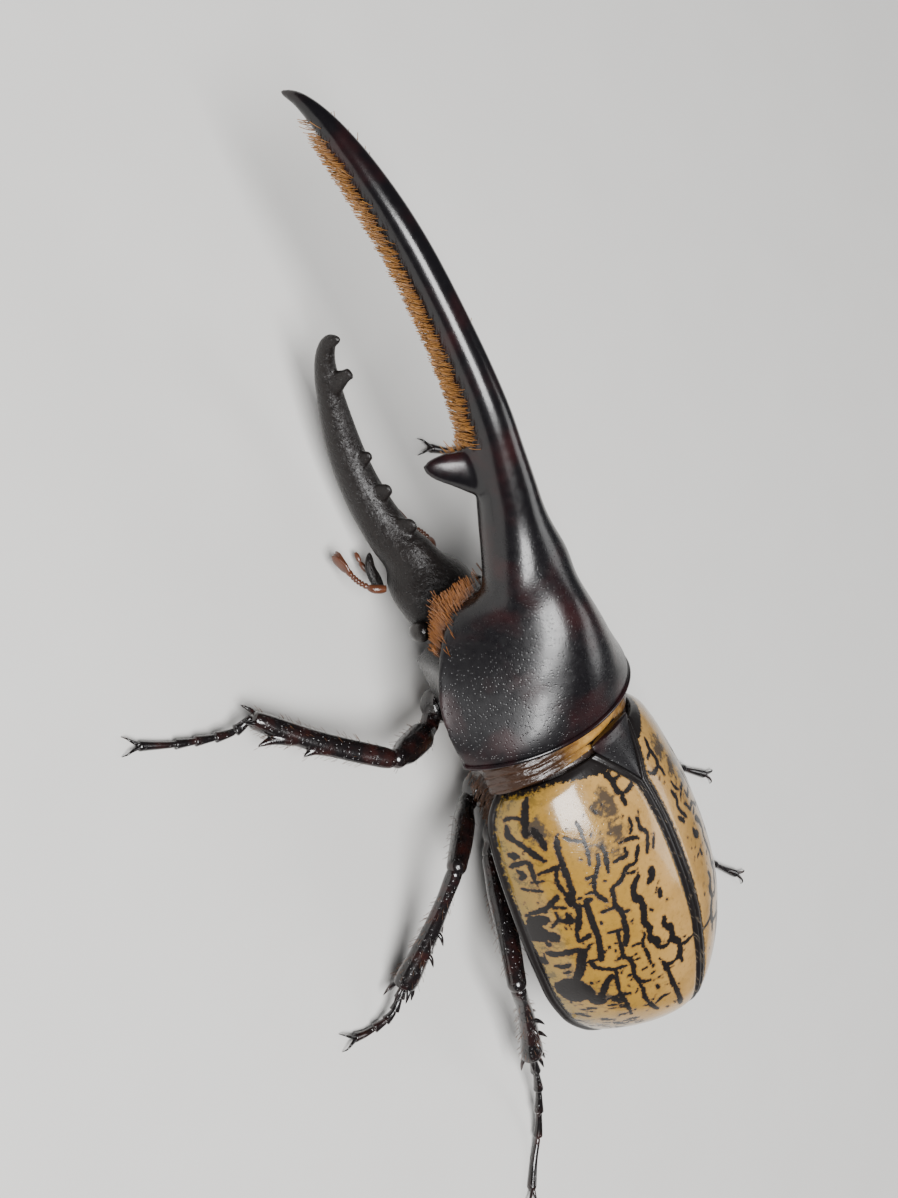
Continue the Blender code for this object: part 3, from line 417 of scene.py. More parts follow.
def smooth_path(points, shares):
    """Places and directions on a smooth line through points, at shares of its length, and that length."""
    points = np.asarray(points, float)
    padded = np.vstack([2 * points[0] - points[1], points, 2 * points[-1] - points[-2]])
    t = np.linspace(0, 1, 24, endpoint=False)[:, None]
    runs = []
    for i in range(1, len(padded) - 2):
        p0, p1, p2, p3 = padded[i - 1:i + 3]
        runs.append(0.5 * (2 * p1 + (p2 - p0) * t + (2 * p0 - 5 * p1 + 4 * p2 - p3) * t ** 2
                           + (3 * p1 - p0 - 3 * p2 + p3) * t ** 3))
    fine = np.vstack(runs + [padded[-2:-1]])
    length = np.concatenate([[0], np.cumsum(np.linalg.norm(np.diff(fine, axis=0), axis=1))])

    def at(spots):
        return np.stack([np.interp(spots, length, fine[:, k]) for k in range(fine.shape[1])], -1)

    spots = np.asarray(shares) * length[-1]
    step = length[-1] / 150
    return at(spots), unit(at(spots + step) - at(spots - step)), length[-1]


def crack_field(surface, chance, shift):
    """Each point's distance in millimetres from a cover's nearest crack, less than 0 inside one."""
    strokes = [(width, np.add(spots, (shift, 0))) for width, *spots in CRACKS]
    for _ in range(45):
        spot = np.array([chance.uniform(39, 49), chance.uniform(0.8, 4.2)])
        strokes.append((chance.uniform(0.3, 0.7), np.array([spot, spot + (0.4, 0.45)])))
    for _ in range(110):
        spot = np.array([chance.uniform(6, 48), chance.uniform(1.0, 9.0)])
        width = chance.uniform(0.18, 0.42)
        end = spot + (chance.uniform(-0.2, 0.6), chance.uniform(-0.15, 0.15))
        strokes.append((width, np.array([spot, end])))
    field = np.full(surface.shape[:2], 5.0)
    for width, spots in strokes:
        count = max(3, int(smooth_path(on_cover(spots), [0, 1])[2] / CRACK_STEP))
        line = smooth_path(on_cover(spots), np.linspace(0, 1, count))[0]
        knots = np.arange(0, count + 6, 5)
        steps = np.arange(count)
        half = width / 2 * (1 + 0.25 * np.interp(steps, knots, chance.uniform(-1, 1, len(knots))))
        half *= 1 - 0.35 * near(np.minimum(steps, steps[::-1]) * CRACK_STEP, 0.35)
        close = np.all((surface > line.min(0) - 2.5) & (surface < line.max(0) + 2.5), axis=-1)
        gap = np.linalg.norm(surface[close][:, None] - line[None], axis=-1) - half
        field[close] = np.minimum(field[close], gap.min(1))
    return field


def stain_field(surface):
    """Soft, smoky stains on a cover, from 0 to 1."""
    field = np.zeros(surface.shape[:2])
    for back, tenths, size, strength in STAINS:
        middle = on_cover([(back, tenths)])[0]
        field = np.maximum(field, strength * near(np.linalg.norm(surface - middle, axis=-1), size))
    return field


def cover_paint():
    made, shader, places = new_paint("tan_cover", 0.24)
    shader.inputs["Specular IOR Level"].default_value = 0.3
    fields = {}
    for name in ("from_rim", "from_seam", "from_front", "crack", "stain"):
        fields[name] = places.node("ShaderNodeAttribute", {"attribute_name": name}, out="Fac")
    mottle = places.noise(0.22, 4.0, 0.6)
    pale = fields["from_seam"].rising(16.0, 2.0)
    tan = pale.mix((0.26, 0.145, 0.024), (0.37, 0.215, 0.066))
    olive = fields["from_rim"].rising(12.0, 1.0) * 0.7
    tan = olive.mix(tan, (0.125, 0.090, 0.013))
    tan = (mottle.rising(0.35, 0.75) * 0.5).mix(tan, (0.20, 0.105, 0.015))
    tan = (places.noise(1.2, 4.0, 0.7).rising(0.50, 0.72) * 0.35).mix(tan, (0.10, 0.062, 0.013))
    near_rim = fields["from_rim"].rising(13.0, 4.0)
    smudges = places.noise(0.55, 5.0, 0.7, 0.4).rising(0.50, 0.60) * near_rim * 0.75
    tan = smudges.mix(tan, (0.048, 0.034, 0.010))
    ragged = places.noise(1.5, 4.0, 0.65) - 0.5
    fine = places.noise(5.0, 3.0, 0.6) - 0.5
    rim_width = fields["from_front"].rising(14.0, 30.0) * 1.1 + 1.2
    edge = (fields["from_rim"] - rim_width + ragged * 2.2).rising(0.25, -0.1)
    seam = (fields["from_seam"] + ragged * 1.1 + fine * 0.5).rising(1.75, 1.35)
    front_width = fields["from_seam"].rising(10.0, 1.0) * 2.6 + 0.5
    front = (fields["from_front"] - front_width + ragged * 2.4 + fine * 0.8).rising(0.3, -0.1)
    crack = fields["crack"] - 0.08 + ragged * 0.55 + fine * 0.3 + (places.cells(1.8) - 0.4) * 0.25
    clouds = (places.noise(0.6, 5.0, 0.62) - 0.5) * fields["stain"].rising(0.02, 0.25)
    smoke = (fields["stain"] * 1.2 + clouds * 3.4).rising(0.18, 0.85) * 0.9
    fringe = crack.rising(0.32, -0.02) * 0.55
    black = edge.at_least(seam).at_least(front).at_least(crack.rising(0.06, -0.08))
    browned = fringe.mix(tan, (0.10, 0.045, 0.016))
    smoked = smoke.mix(browned, (0.030, 0.026, 0.024))
    black.mix(smoked, (0.0075, 0.0060, 0.0058)).into(shader.inputs["Base Color"])
    (black * 0.10 + places.noise(0.8, 3.0) * 0.14 + 0.14).into(shader.inputs["Roughness"])
    (0.5 - black * 0.48).into(shader.inputs["Coat Weight"])
    pits = places.cells(1.1).rising(0.10, 0.26)
    wrinkle = places.noise(0.9, 3.0, 0.5, 0.6)
    relief(pits * 0.25 + wrinkle * 0.5 + (1 - black) * 0.25, shader, 0.06)
    return made


tan_cover = cover_paint()
cover_shells = {}
for side, word in ((1, "left"), (-1, "right")):
    points = np.concatenate([outside.reshape(-1, 3), inside.reshape(-1, 3)]) * (side, 1, 1)
    inner = COVER_ROWS * COVER_COLUMNS
    faces = grid_faces(COVER_ROWS, COVER_COLUMNS) + grid_faces(COVER_ROWS, COVER_COLUMNS, inner)
    numbers = np.arange(inner).reshape(COVER_ROWS, COVER_COLUMNS)
    border = np.concatenate([numbers[0], numbers[1:, -1], numbers[-1, -2::-1], numbers[-2:0:-1, 0]])
    for a, b in zip(border.tolist(), np.roll(border, -1).tolist()):
        faces.append((a, b, inner + b, inner + a))
    shell = piece("wing_cover_shell_" + word, points, faces, tan_cover)
    cover_shells[word] = shell
    cracks = crack_field(cover, np.random.default_rng(11 + side), 0.0 if side > 0 else RIGHT_CRACKS_SHIFT)
    for name, field in (("from_rim", from_rim), ("from_seam", from_seam), ("from_front", from_front),
                        ("crack", cracks), ("stain", stain_field(cover))):
        store(shell.data, name, np.concatenate([field.ravel(), field.ravel()]))
    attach(shell, "root")
    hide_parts("wing_cover_" + word)

# Underbody. The hard, dark rear thorax and the ringed belly that the wing covers lie on. The belly's five
# plates overlap like tiles, each one's hind edge standing a little proud, and a last plate closes the rear.
UNDERSIDE = 9.5
KEEL_HALF_WIDTH = 7.0
COLLAR_BACK = 4.5
THORAX_BACK = -14.0
ABDOMEN_BACK = -43.0
BODY_END = -49.1
BELLY_PLATES = 5
BODY_COLUMNS = 96


def belly(forward):
    return curve(forward, (-50.2, 14.0), (-47.0, 12.2), (-43.0, 10.6), (-35.0, 9.2), (-24.0, 8.8),
                 (-14.0, UNDERSIDE), (12.0, UNDERSIDE))


def trunk_ring(forward, half_width, top, margin, bottom, angles, rise=DOME_POWER):
    """A section of the body: a dome above its widest height and a bowl below it."""
    left = half_width * np.cos(angles)
    keel = np.minimum(KEEL_HALF_WIDTH, half_width * 0.5)
    out = np.clip((np.abs(left) - keel) / (half_width - keel), 0, 1)
    above = margin + (top - margin) * np.abs(np.sin(angles)) ** rise
    below = bottom + (margin - bottom) * out * (1.5 - 0.5 * out)
    up = np.where(np.sin(angles) >= 0, above, below)
    return np.stack([left, np.broadcast_to(forward, left.shape), up], -1)


def joined(name, parts, paint):
    """One piece of closed skins, each through rings of equal count, with a fan over each end."""
    points, faces, start = [], [], 0
    for rings in parts:
        rings = np.asarray(rings, float)
        rows, columns = rings.shape[:2]
        points += [rings.reshape(-1, 3), [rings[0].mean(0)], [rings[-1].mean(0)]]
        faces += grid_faces(rows, columns, start, around=True)
        centre = start + rows * columns
        for first in (start, centre - columns):
            faces += [(centre, first + c, first + (c + 1) % columns) for c in range(columns)]
            centre += 1
        start = centre
    return piece(name, np.concatenate(points), faces, paint)


def skin(name, rings, paint):
    """A closed skin through rings of equal count."""
    return joined(name, [rings], paint)


def underbody_paint():
    made, shader, places = new_paint("black_underbody", 0.32, coat=0.2)
    places.noise(0.5, 3.0).mix((0.010, 0.007, 0.006), (0.035, 0.016, 0.010)).into(shader.inputs["Base Color"])
    pits = places.cells(1.6).rising(0.1, 0.32)
    relief(pits * 0.7 + places.noise(4.0, 2.0) * 0.3, shader, 0.08)
    (places.noise(1.5, 2.0) * 0.2 + 0.22).into(shader.inputs["Roughness"])
    return made


body_angles = np.linspace(0, 2 * math.pi, BODY_COLUMNS, endpoint=False)
plate_length = (THORAX_BACK - ABDOMEN_BACK) / BELLY_PLATES
body_rings = []
for forward in np.concatenate([np.linspace(COLLAR_BACK + 0.3, ABDOMEN_BACK, 150),
                               np.linspace(ABDOMEN_BACK - 0.3, BODY_END, 24)]):
    shrink = curve(forward, (BODY_END, 2.2), (-48.6, 0.8), (-47.5, 0.4), (-45.5, 0.1), (ABDOMEN_BACK, 0.0))
    lost = COVER_THICKNESS + 0.45 + shrink
    plate = (THORAX_BACK - forward) / plate_length
    lift = 0.0
    if 0 < plate < BELLY_PLATES:
        lift = 0.45 * (1 - plate % 1) ** 0.6 * min(1.0, (plate % 1) * 12)
    groove = 0.35 * near(forward - THORAX_BACK, 0.5) + 0.3 * near(forward - ABDOMEN_BACK, 0.4)
    half_width, top = cover_half_width(forward) - lost, cover_top(forward) - lost - shrink
    low = belly(forward) + lift + groove + shrink
    body_rings.append(trunk_ring(forward, half_width, top, cover_margin(forward), low, body_angles))
underbody = skin("underbody", body_rings, underbody_paint())
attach(underbody, "root")
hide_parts("rear_thorax", "abdomen", "pygidium")

# Collar. A tough amber membrane between the pronotum and the wing covers, drawn into cross folds, that
# lets the front of the body nod. It is glossy, with painted shade in the creases of its folds and on its sides.
COLLAR_FRONT = 13.2
WIDEST_UP = 22.8


def collar_paint():
    made, shader, places = new_paint("amber_collar", 0.34, coat=0.1)
    cloud = places.noise(0.45, 3.0, 0.6)
    stops = ((0.30, (0.13, 0.052, 0.010)), (0.5, (0.30, 0.15, 0.030)), (0.72, (0.48, 0.27, 0.070)))
    amber = cloud.node("ShaderNodeValToRGB", {"stops": stops}, {"Fac": cloud})
    across = places.node("ShaderNodeSeparateXYZ", {}, {0: places}, "X") - MIDDLE_X / MM
    # Painted shade: darker towards its sides, where the membrane sinks out of the light between the shells.
    amber = across.at_least(across * -1).rising(3.0, 11.0).mix(amber, (0.022, 0.009, 0.004))
    fold = places.node("ShaderNodeAttribute", {"attribute_name": "fold"}, out="Fac")
    # Painted shade: the creases between the folds are darkened.
    (fold * 0.8).mix(amber, (0.04, 0.015, 0.005)).into(shader.inputs["Base Color"])
    relief(places.stretched((0.5, 1.6, 0.5)).noise(0.8, 3.0), shader, 0.5)
    return made


collar_rings, painted_crease_shade = [], []
for forward in np.linspace(COLLAR_FRONT - 0.2, COLLAR_BACK - 0.6, 90):
    half_width = curve(forward, (COLLAR_BACK, 16.6), (7.5, 16.2), (10.5, 15.6), (COLLAR_FRONT, 14.8))
    top = curve(forward, (COLLAR_BACK, 35.0), (7.5, 35.0), (10.5, 34.6), (COLLAR_FRONT, 33.8))
    low = curve(forward, (COLLAR_BACK, UNDERSIDE), (8.0, UNDERSIDE), (10.0, 12.3), (COLLAR_FRONT, 12.9))
    phase = (COLLAR_FRONT - forward) * 2.3 + 0.8 * np.sin(body_angles * 3 + 0.7)
    phase += 0.5 * np.sin(body_angles * 7)
    fold = np.abs(np.sin(phase)) ** 0.5
    sink = 0.35 * (1 - fold)
    ring = trunk_ring(forward, half_width, top, WIDEST_UP, low, body_angles)
    centre = np.array([0, forward, WIDEST_UP])
    collar_rings.append(ring - unit(ring - centre) * sink[:, None])
    # Painted shade for the creases, deepest in their valleys.
    painted_crease_shade.append((1 - fold) ** 2)
collar = skin("collar_membrane", collar_rings, collar_paint())
store(collar.data, "fold", np.concatenate([np.ravel(painted_crease_shade), [0, 0]]))
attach(collar, "root")
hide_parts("collar")

# Scutellum. The small black triangle between the bases of the wing covers: a pitted plate of the same hard
# shell as the pronotum, with rounded edges. It is part of the rear thorax, and the covers lock against it.


def shell_paint(name, pit_spacing, gloss):
    """Black shell: a red-brown depth in its black, fine pits and a waxy, uneven gloss."""
    made, shader, places = new_paint(name, gloss, coat=0.08)
    shader.inputs["Specular IOR Level"].default_value = 0.42
    tint = places.noise(0.12, 3.0).rising(0.45, 0.70)
    tint.mix((0.0032, 0.0026, 0.0034), (0.015, 0.0038, 0.0045)).into(shader.inputs["Base Color"])
    roughened = places.node("ShaderNodeAttribute", {"attribute_name": "pitted"}, out="Fac")
    (places.noise(0.9, 3.0) * 0.16 + roughened * 0.16 + (gloss - 0.05)).into(shader.inputs["Roughness"])
    pits = 1 - (1 - places.cells(1 / pit_spacing).rising(0.12, 0.34)) * roughened
    relief(pits * 0.8 + places.noise(5.0, 2.0) * 0.2, shader, 0.055)
    return made


black_shell = shell_paint("black_shell", 0.55, 0.19)
shield_rings = []
shield_angles = np.linspace(0, 2 * math.pi, 64, endpoint=False)
for forward in np.linspace(SCUTELLUM_TIP + 0.3, SCUTELLUM_BASE + 0.7, 60):
    share = np.clip((forward - SCUTELLUM_TIP) / (SCUTELLUM_BASE - SCUTELLUM_TIP), 0, 1)
    half_width = SCUTELLUM_HALF_WIDTH * share - 0.02
    side, rise = np.cos(shield_angles), np.sin(shield_angles)
    left = half_width * np.sign(side) * np.abs(side) ** 0.75
    dome = 0.55 * (1 - (left / half_width) ** 2) * share
    up = cover_top(forward) - 0.62 + (0.5 + dome) * np.sign(rise) * np.abs(rise) ** 0.7
    shield_rings.append(np.stack([left, np.full_like(left, forward), up], -1))
scutellum = skin("scutellum_plate", shield_rings, black_shell)
store(scutellum.data, "pitted", np.ones(len(scutellum.data.vertices)))
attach(scutellum, "root")
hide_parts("scutellum")

# Pronotum and its horn. One piece of polished black shell: a big arched shield over the front of the body
# that narrows forward into a long horn with a tooth on each side. Its hind edge is rolled into a bead, and
# its front is hollow for the head.
PRONOTUM_FRONT = 33.5
PRONOTUM_SIDE_FRONT = 26.0
HEAD_BACK = 25.0
SHELL_VOXEL = 0.3
HORN_LINE = (
    (30.0, 33.2), (34.0, 34.3), (36.5, 34.9), (39.5, 35.4), (43.0, 36.2), (48.0, 37.6), (54.0, 39.3),
    (60.0, 40.4), (66.0, 40.9), (72.0, 41.0), (79.0, 40.8), (86.0, 40.2), (93.0, 39.0), (100.0, 37.2),
    (106.0, 35.1), (110.5, 32.5), (112.8, 29.6),
)


def pronotum_points(angles, forward):
    """Points on the outside of the pronotum, whose dome sharpens into the horn's root at the front."""
    half_width = curve(forward, (7.2, 16.2), (9.0, 18.2), (11.5, 19.3), (15.0, 19.7), (19.0, 19.4),
                       (22.5, 18.3), (26.0, 16.2), (30.0, 13.4), (33.5, 11.6))
    top = curve(forward, (7.2, 37.1), (12.0, 39.2), (18.0, 40.8), (25.0, 41.5), (33.5, 41.2))
    margin = curve(forward, (7.2, 23.4), (20.0, 23.4), (33.5, 24.4))
    peak = curve(forward, (8.0, 1.0), (12.0, 1.5), (15.0, 2.0), (18.0, 2.4), (24.0, 2.7), (29.0, 2.3),
                 (33.5, 1.8))
    return trunk_ring(forward, half_width, top, margin, UNDERSIDE, angles, peak)


def pronotum_rear(angles):
    rise = np.sin(angles)
    return 10.4 - np.where(rise > 0, 3.2, 1.2) * rise


def pronotum_front(angles):
    rise = np.sin(angles)
    sweep = (PRONOTUM_FRONT - PRONOTUM_SIDE_FRONT) * np.minimum(1, np.abs(rise) / 0.38) ** 0.9
    return PRONOTUM_SIDE_FRONT + np.where(rise > 0, sweep, -2.0 * np.abs(rise) ** 0.6)


def rings_along(points, shares, half_sides, half_heights, columns=32, lift=(0, 0, 1)):
    """Oval rings along a smooth path, from their half sizes at each share of its length."""
    places, along_path, _ = smooth_path(points, shares)
    side = unit(np.cross(lift, along_path))
    rise = np.cross(along_path, side)
    angles = np.linspace(0, 2 * math.pi, columns, endpoint=False)
    wide = np.broadcast_to(half_sides, len(shares))[:, None] * np.cos(angles)
    high = np.broadcast_to(half_heights, len(shares))[:, None] * np.sin(angles)
    return places[:, None] + wide[..., None] * side[:, None] + high[..., None] * rise[:, None]


def tooth_rings(root, tip, half_across, half_along, along_horn, blunt=0.2):
    """A broad-based tooth, flattened along its horn."""
    shares = np.linspace(0, 1, 14)
    size = curve(shares, (0, 1.0), (0.45, 0.62), (0.85, 0.28 + blunt * 0.3), (0.96, blunt),
                 (1.0, blunt * 0.3))
    middle = np.add(root, tip) / 2
    return rings_along([root, middle, tip], shares, half_across * size, half_along * size, 16, along_horn)


def bake(made):
    """Replaces an object's mesh with what its modifiers make of it, and removes them."""
    bpy.context.view_layer.update()
    mesh = bpy.data.meshes.new_from_object(made.evaluated_get(bpy.context.evaluated_depsgraph_get()))
    made.modifiers.clear()
    made.data = mesh
    mesh.name = made.name


def beetle_points(made):
    """A piece's points back in beetle terms."""
    flat = np.zeros(len(made.data.vertices) * 3, np.float32)
    made.data.vertices.foreach_get("co", flat)
    x, y, z = flat.reshape(-1, 3).astype(float).T
    return np.stack([(x - MIDDLE_X) / MM, (SHOULDER_Y - y) / MM, z / MM], -1)


def grown_together(name, parts, voxel, passes, paint, meld=None):
    """One smooth skin over overlapping parts, melded further where a weight says."""
    whole = joined(name, parts, paint)
    remesh = whole.modifiers.new("one_skin", "REMESH")
    remesh.mode = "VOXEL"
    remesh.voxel_size = voxel * MM
    remesh.use_smooth_shade = True
    bake(whole)
    if meld is not None:
        weights = meld(beetle_points(whole))
        group = whole.vertex_groups.new(name="meld")
        for i in np.nonzero(weights > 0.02)[0].tolist():
            group.add([i], float(weights[i]), "REPLACE")
        melt = whole.modifiers.new("meld", "SMOOTH")
        melt.factor = 0.9
        melt.iterations = 220
        melt.vertex_group = "meld"
        bake(whole)
    ease = whole.modifiers.new("ease", "SMOOTH")
    ease.factor = 0.5
    ease.iterations = passes
    bake(whole)
    whole.vertex_groups.clear()
    return whole


dome_angles = np.linspace(0, 2 * math.pi, 160, endpoint=False)
rear, front = pronotum_rear(dome_angles), pronotum_front(dome_angles)
brow = np.maximum(front, HEAD_BACK - 0.2)
lip = brow + np.maximum(0, np.sin(dome_angles)) ** 0.5
dome_rings = [trunk_ring(COLLAR_FRONT + 0.1, 15.2, 34.2, 23.0, 12.3, dome_angles),
              trunk_ring(rear + 0.6, 16.6, 35.9, 23.0, 11.6, dome_angles)]
for share in np.linspace(0, 1, 40):
    row = pronotum_points(dome_angles, rear + share * (front - rear))
    tuck = 1 - 0.025 * near(share, 0.02)
    row[:, 0] *= tuck
    row[:, 2] = WIDEST_UP + (row[:, 2] - WIDEST_UP) * tuck
    dome_rings.append(row)
for edge, half_width, top, margin, low in ((brow, 9.8, 27.2, 20.0, 1.0), (lip, 9.2, 26.0, 20.0, 1.3),
                                           (lip - 0.3, 8.8, 25.2, 20.0, 1.6),
                                           (HEAD_BACK - 0.2, 8.4, 22.5, 19.0, 2.0)):
    dome_rings.append(trunk_ring(edge, half_width, top, margin, UNDERSIDE + low, dome_angles))

horn_shares = np.linspace(0, 1, 150)
horn_wide = curve(horn_shares, (0, 7.8), (.05, 8.1), (.083, 7.0), (.126, 5.6), (.183, 4.5), (.28, 3.8),
                  (.373, 3.2), (.525, 2.8), (.696, 2.6), (.81, 2.25), (.905, 1.6), (.972, .85), (.995, .4),
                  (1, .1))
horn_high = curve(horn_shares, (0, 5.8), (.05, 6.6), (.083, 6.3), (.126, 5.8), (.183, 5.2), (.28, 4.3),
                  (.373, 3.6), (.525, 3.1), (.696, 2.85), (.81, 2.5), (.905, 1.8), (.972, .95), (.995, .45),
                  (1, .1))
horn_path = [(0, forward, up) for forward, up in HORN_LINE]
shell_parts = [dome_rings, rings_along(horn_path, horn_shares, horn_wide, horn_high, 64)]
for side in (1, -1):
    tooth_root, tooth_tip = (side * 1.4, 51.8, 36.9), (side * 8.1, 56.3, 31.4)
    shell_parts.append(tooth_rings(tooth_root, tooth_tip, 2.3, 4.8, (0, 1, 0), 0.14))


def shell_meld(points):
    """Where the horn's root melts into the shield: round the root, and at the feet of its side teeth."""
    left, forward, up = points.T
    root = near(forward - 34.0, 6.5) * np.clip((up - 25.4) / 2.5, 0, 1)
    feet = near(forward - 53.0, 4.0) * np.clip((4.6 - np.abs(left)) / 1.2, 0, 1) * 0.6
    return np.maximum(root, feet)


pronotum = grown_together("pronotum_and_horn", shell_parts, SHELL_VOXEL, 14, black_shell, shell_meld)
shell_points = beetle_points(pronotum)
flank = np.clip((np.abs(shell_points[:, 0]) - 8) / 8, 0, 1) * np.clip((36 - shell_points[:, 1]) / 6, 0, 1)
dusty = np.clip((50 - shell_points[:, 1]) / 16, 0, 1) * 0.35
store(pronotum.data, "pitted", np.clip(np.maximum(flank, dusty) + near(shell_points[:, 1] - 9, 2.5), 0.05, 1))
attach(pronotum, "root")
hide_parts("pronotum", "thoracic_horn")

hem_angles = np.linspace(math.radians(-60), math.radians(240), 220)
hem_line = pronotum_points(hem_angles, pronotum_rear(hem_angles) + 0.55)
hem = skin("pronotum_hem", rings_along(hem_line, np.linspace(0, 1, 260), 0.42, 0.42, 14), black_shell)
store(hem.data, "pitted", np.zeros(len(hem.data.vertices)))
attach(hem, "root")

# Head and its horn. One duller black piece, finely wrinkled and grained, that fits the hollow of the
# pronotum and curves up in front into the lower horn with its row of blunt teeth.
HEAD_LENGTH = 12.9
HEAD_VOXEL = 0.28
CEPHALIC_LINE = (
    (34.6, 12.0), (37.9, 11.9), (40.5, 10.5), (43.5, 9.3), (48.0, 8.3), (52.4, 8.0), (56.6, 8.2), (60.4, 8.8),
    (64.0, 9.7), (67.3, 10.7), (71.0, 12.0), (74.2, 13.7), (76.3, 16.0), (76.4, 18.7),
)
# Each tooth's root forward and up, its height, how far it leans forward, its length and its bluntness.
LOWER_TEETH = (
    (44.0, 11.4, 4.6, 0.6, 3.0, 0.3),
    (50.6, 10.0, 4.4, 0.6, 2.7, 0.3),
    (56.9, 9.6, 4.0, 0.4, 2.3, 0.3),
    (70.0, 12.4, 5.2, 0.9, 2.4, 0.45),
)


def head_paint():
    made, shader, places = new_paint("dull_black_horn", 0.42, coat=0.03)
    shader.inputs["Specular IOR Level"].default_value = 0.32
    grain = places.noise(1.6, 4.0, 0.6)
    grain.mix((0.0035, 0.0030, 0.0032), (0.010, 0.0070, 0.0060)).into(shader.inputs["Base Color"])
    (grain * 0.30 + 0.22).into(shader.inputs["Roughness"])
    wrinkles = places.noise(1.1, 4.0, 0.65, 1.2)
    pits = places.cells(1.5).rising(0.08, 0.3)
    relief(wrinkles * 0.7 + pits * 0.3, shader, 0.28)
    return made


dull_black = head_paint()
head_shares = np.linspace(0, 1, 30)
head_wide = curve(head_shares, (0, 5.8), (.2, 6.9), (.42, 7.0), (.65, 7.0), (.8, 6.6), (.92, 5.7), (1, 5.2))
head_top = curve(head_shares, (0, 19.0), (.2, 19.6), (.42, 19.6), (.65, 19.0), (.8, 18.2), (.92, 17.4),
                 (1, 16.8))
head_low = curve(head_shares, (0, 11.6), (.2, 9.8), (.42, 8.4), (.65, 7.4), (.8, 6.6), (.92, 5.9), (1, 5.4))
head_rings = []
for share, wide, top, low in zip(head_shares, head_wide, head_top, head_low):
    forward = HEAD_BACK - 0.2 + share * HEAD_LENGTH
    rise = (top + low) / 2 + (top - low) / 2 * np.sin(body_angles)
    head_rings.append(np.stack([wide * np.cos(body_angles), np.full_like(rise, forward), rise], -1))
lower_shares = np.linspace(0, 1, 110)
lower_wide = curve(lower_shares, (0, 4.2), (.05, 4.0), (.2, 3.4), (.39, 3.0), (.58, 2.6), (.74, 2.0),
                   (.86, 1.55), (.955, 1.0), (.99, .5), (1, .15))
lower_high = curve(lower_shares, (0, 5.0), (.05, 4.9), (.2, 4.2), (.39, 3.6), (.58, 3.0), (.74, 2.3),
                   (.86, 1.75), (.955, 1.15), (.99, .55), (1, .15))
lower_path = [(0, forward, up) for forward, up in CEPHALIC_LINE]
head_parts = [head_rings, rings_along(lower_path, lower_shares, lower_wide, lower_high, 40, (0, -0.35, 1))]
for forward, up, height, lean, length, blunt in LOWER_TEETH:
    tip = (0, forward + lean, up + height)
    head_parts.append(tooth_rings((0, forward, up), tip, 1.5, length, (0, 1, 0), blunt))


def head_meld(points):
    """Where the lower horn's root melts into the head."""
    return near(points[:, 1] - 38.0, 2.2) * 0.7


head = grown_together("head_and_horn", head_parts, HEAD_VOXEL, 5, dull_black, head_meld)
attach(head, "root")
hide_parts("head", "cephalic_horn")

# Eyes. A dark, wet-looking dome on each side of the head, made of very many small facets of clear, hard
# shell. Each is set fast in the head's side, close to the front edge of the pronotum.
EYE_CENTRE = (7.7, 29.3, 14.4)
EYE_RADII = (1.45, 1.75, 2.05)


def eye_paint():
    made, shader, places = new_paint("faceted_eye", 0.2, coat=0.2)
    places.cells(9.0).mix((0.012, 0.008, 0.006), (0.003, 0.002, 0.002)).into(shader.inputs["Base Color"])
    relief(1 - places.cells(9.0), shader, 0.02)
    return made


faceted_eye = eye_paint()
for side, word in ((1, "left"), (-1, "right")):
    tilts = np.radians(np.linspace(-35, 89, 24))[:, None]
    turns = np.linspace(0, 2 * math.pi, 36, endpoint=False)
    left = side * (EYE_CENTRE[0] + EYE_RADII[0] * np.sin(tilts)) + 0 * turns
    forward = EYE_CENTRE[1] + EYE_RADII[1] * np.cos(tilts) * np.cos(turns)
    up = EYE_CENTRE[2] + EYE_RADII[2] * np.cos(tilts) * np.sin(turns)
    eye = skin("faceted_eye_" + word, np.stack([left, forward, up], -1), faceted_eye)
    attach(eye, "root")
    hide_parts("eye_" + word)

# Feelers, jaws and palps. Red-brown, shiny and tucked in beside the mouth, each jointed to the head. A feeler
# is a stalk, a row of beads and a club of three leaves. A bead is listed by where it starts and ends along
# its limb, and half its width.
FEELER_BEADS = (
    (-.06, .42, .74), (.4, .52, .5), (.51, .6, .5), (.59, .68, .5), (.67, .76, .5), (.75, .84, .5),
    (.83, 1.06, .52),
)
PALP_BEADS = ((-.05, .38, .5), (.37, .74, .48), (.73, 1.0, .42))


def brown_paint():
    made, shader, places = new_paint("red_brown_feeler", 0.28, coat=0.2)
    places.noise(0.8, 2.0).mix((0.035, 0.010, 0.005), (0.11, 0.035, 0.014)).into(shader.inputs["Base Color"])
    relief(places.noise(5.0, 2.0), shader, 0.04)
    return made


def beaded(shares, beads):
    """Half sizes along a jointed limb: each bead swells and is drawn in at its joints."""
    size = np.zeros_like(shares)
    for start, end, half in beads:
        inside_bead = np.clip((shares - start) / (end - start), 0, 1)
        size = np.maximum(size, half * np.clip(4 * inside_bead * (1 - inside_bead), 0, 1) ** 0.35)
    return np.maximum(size, 0.22)


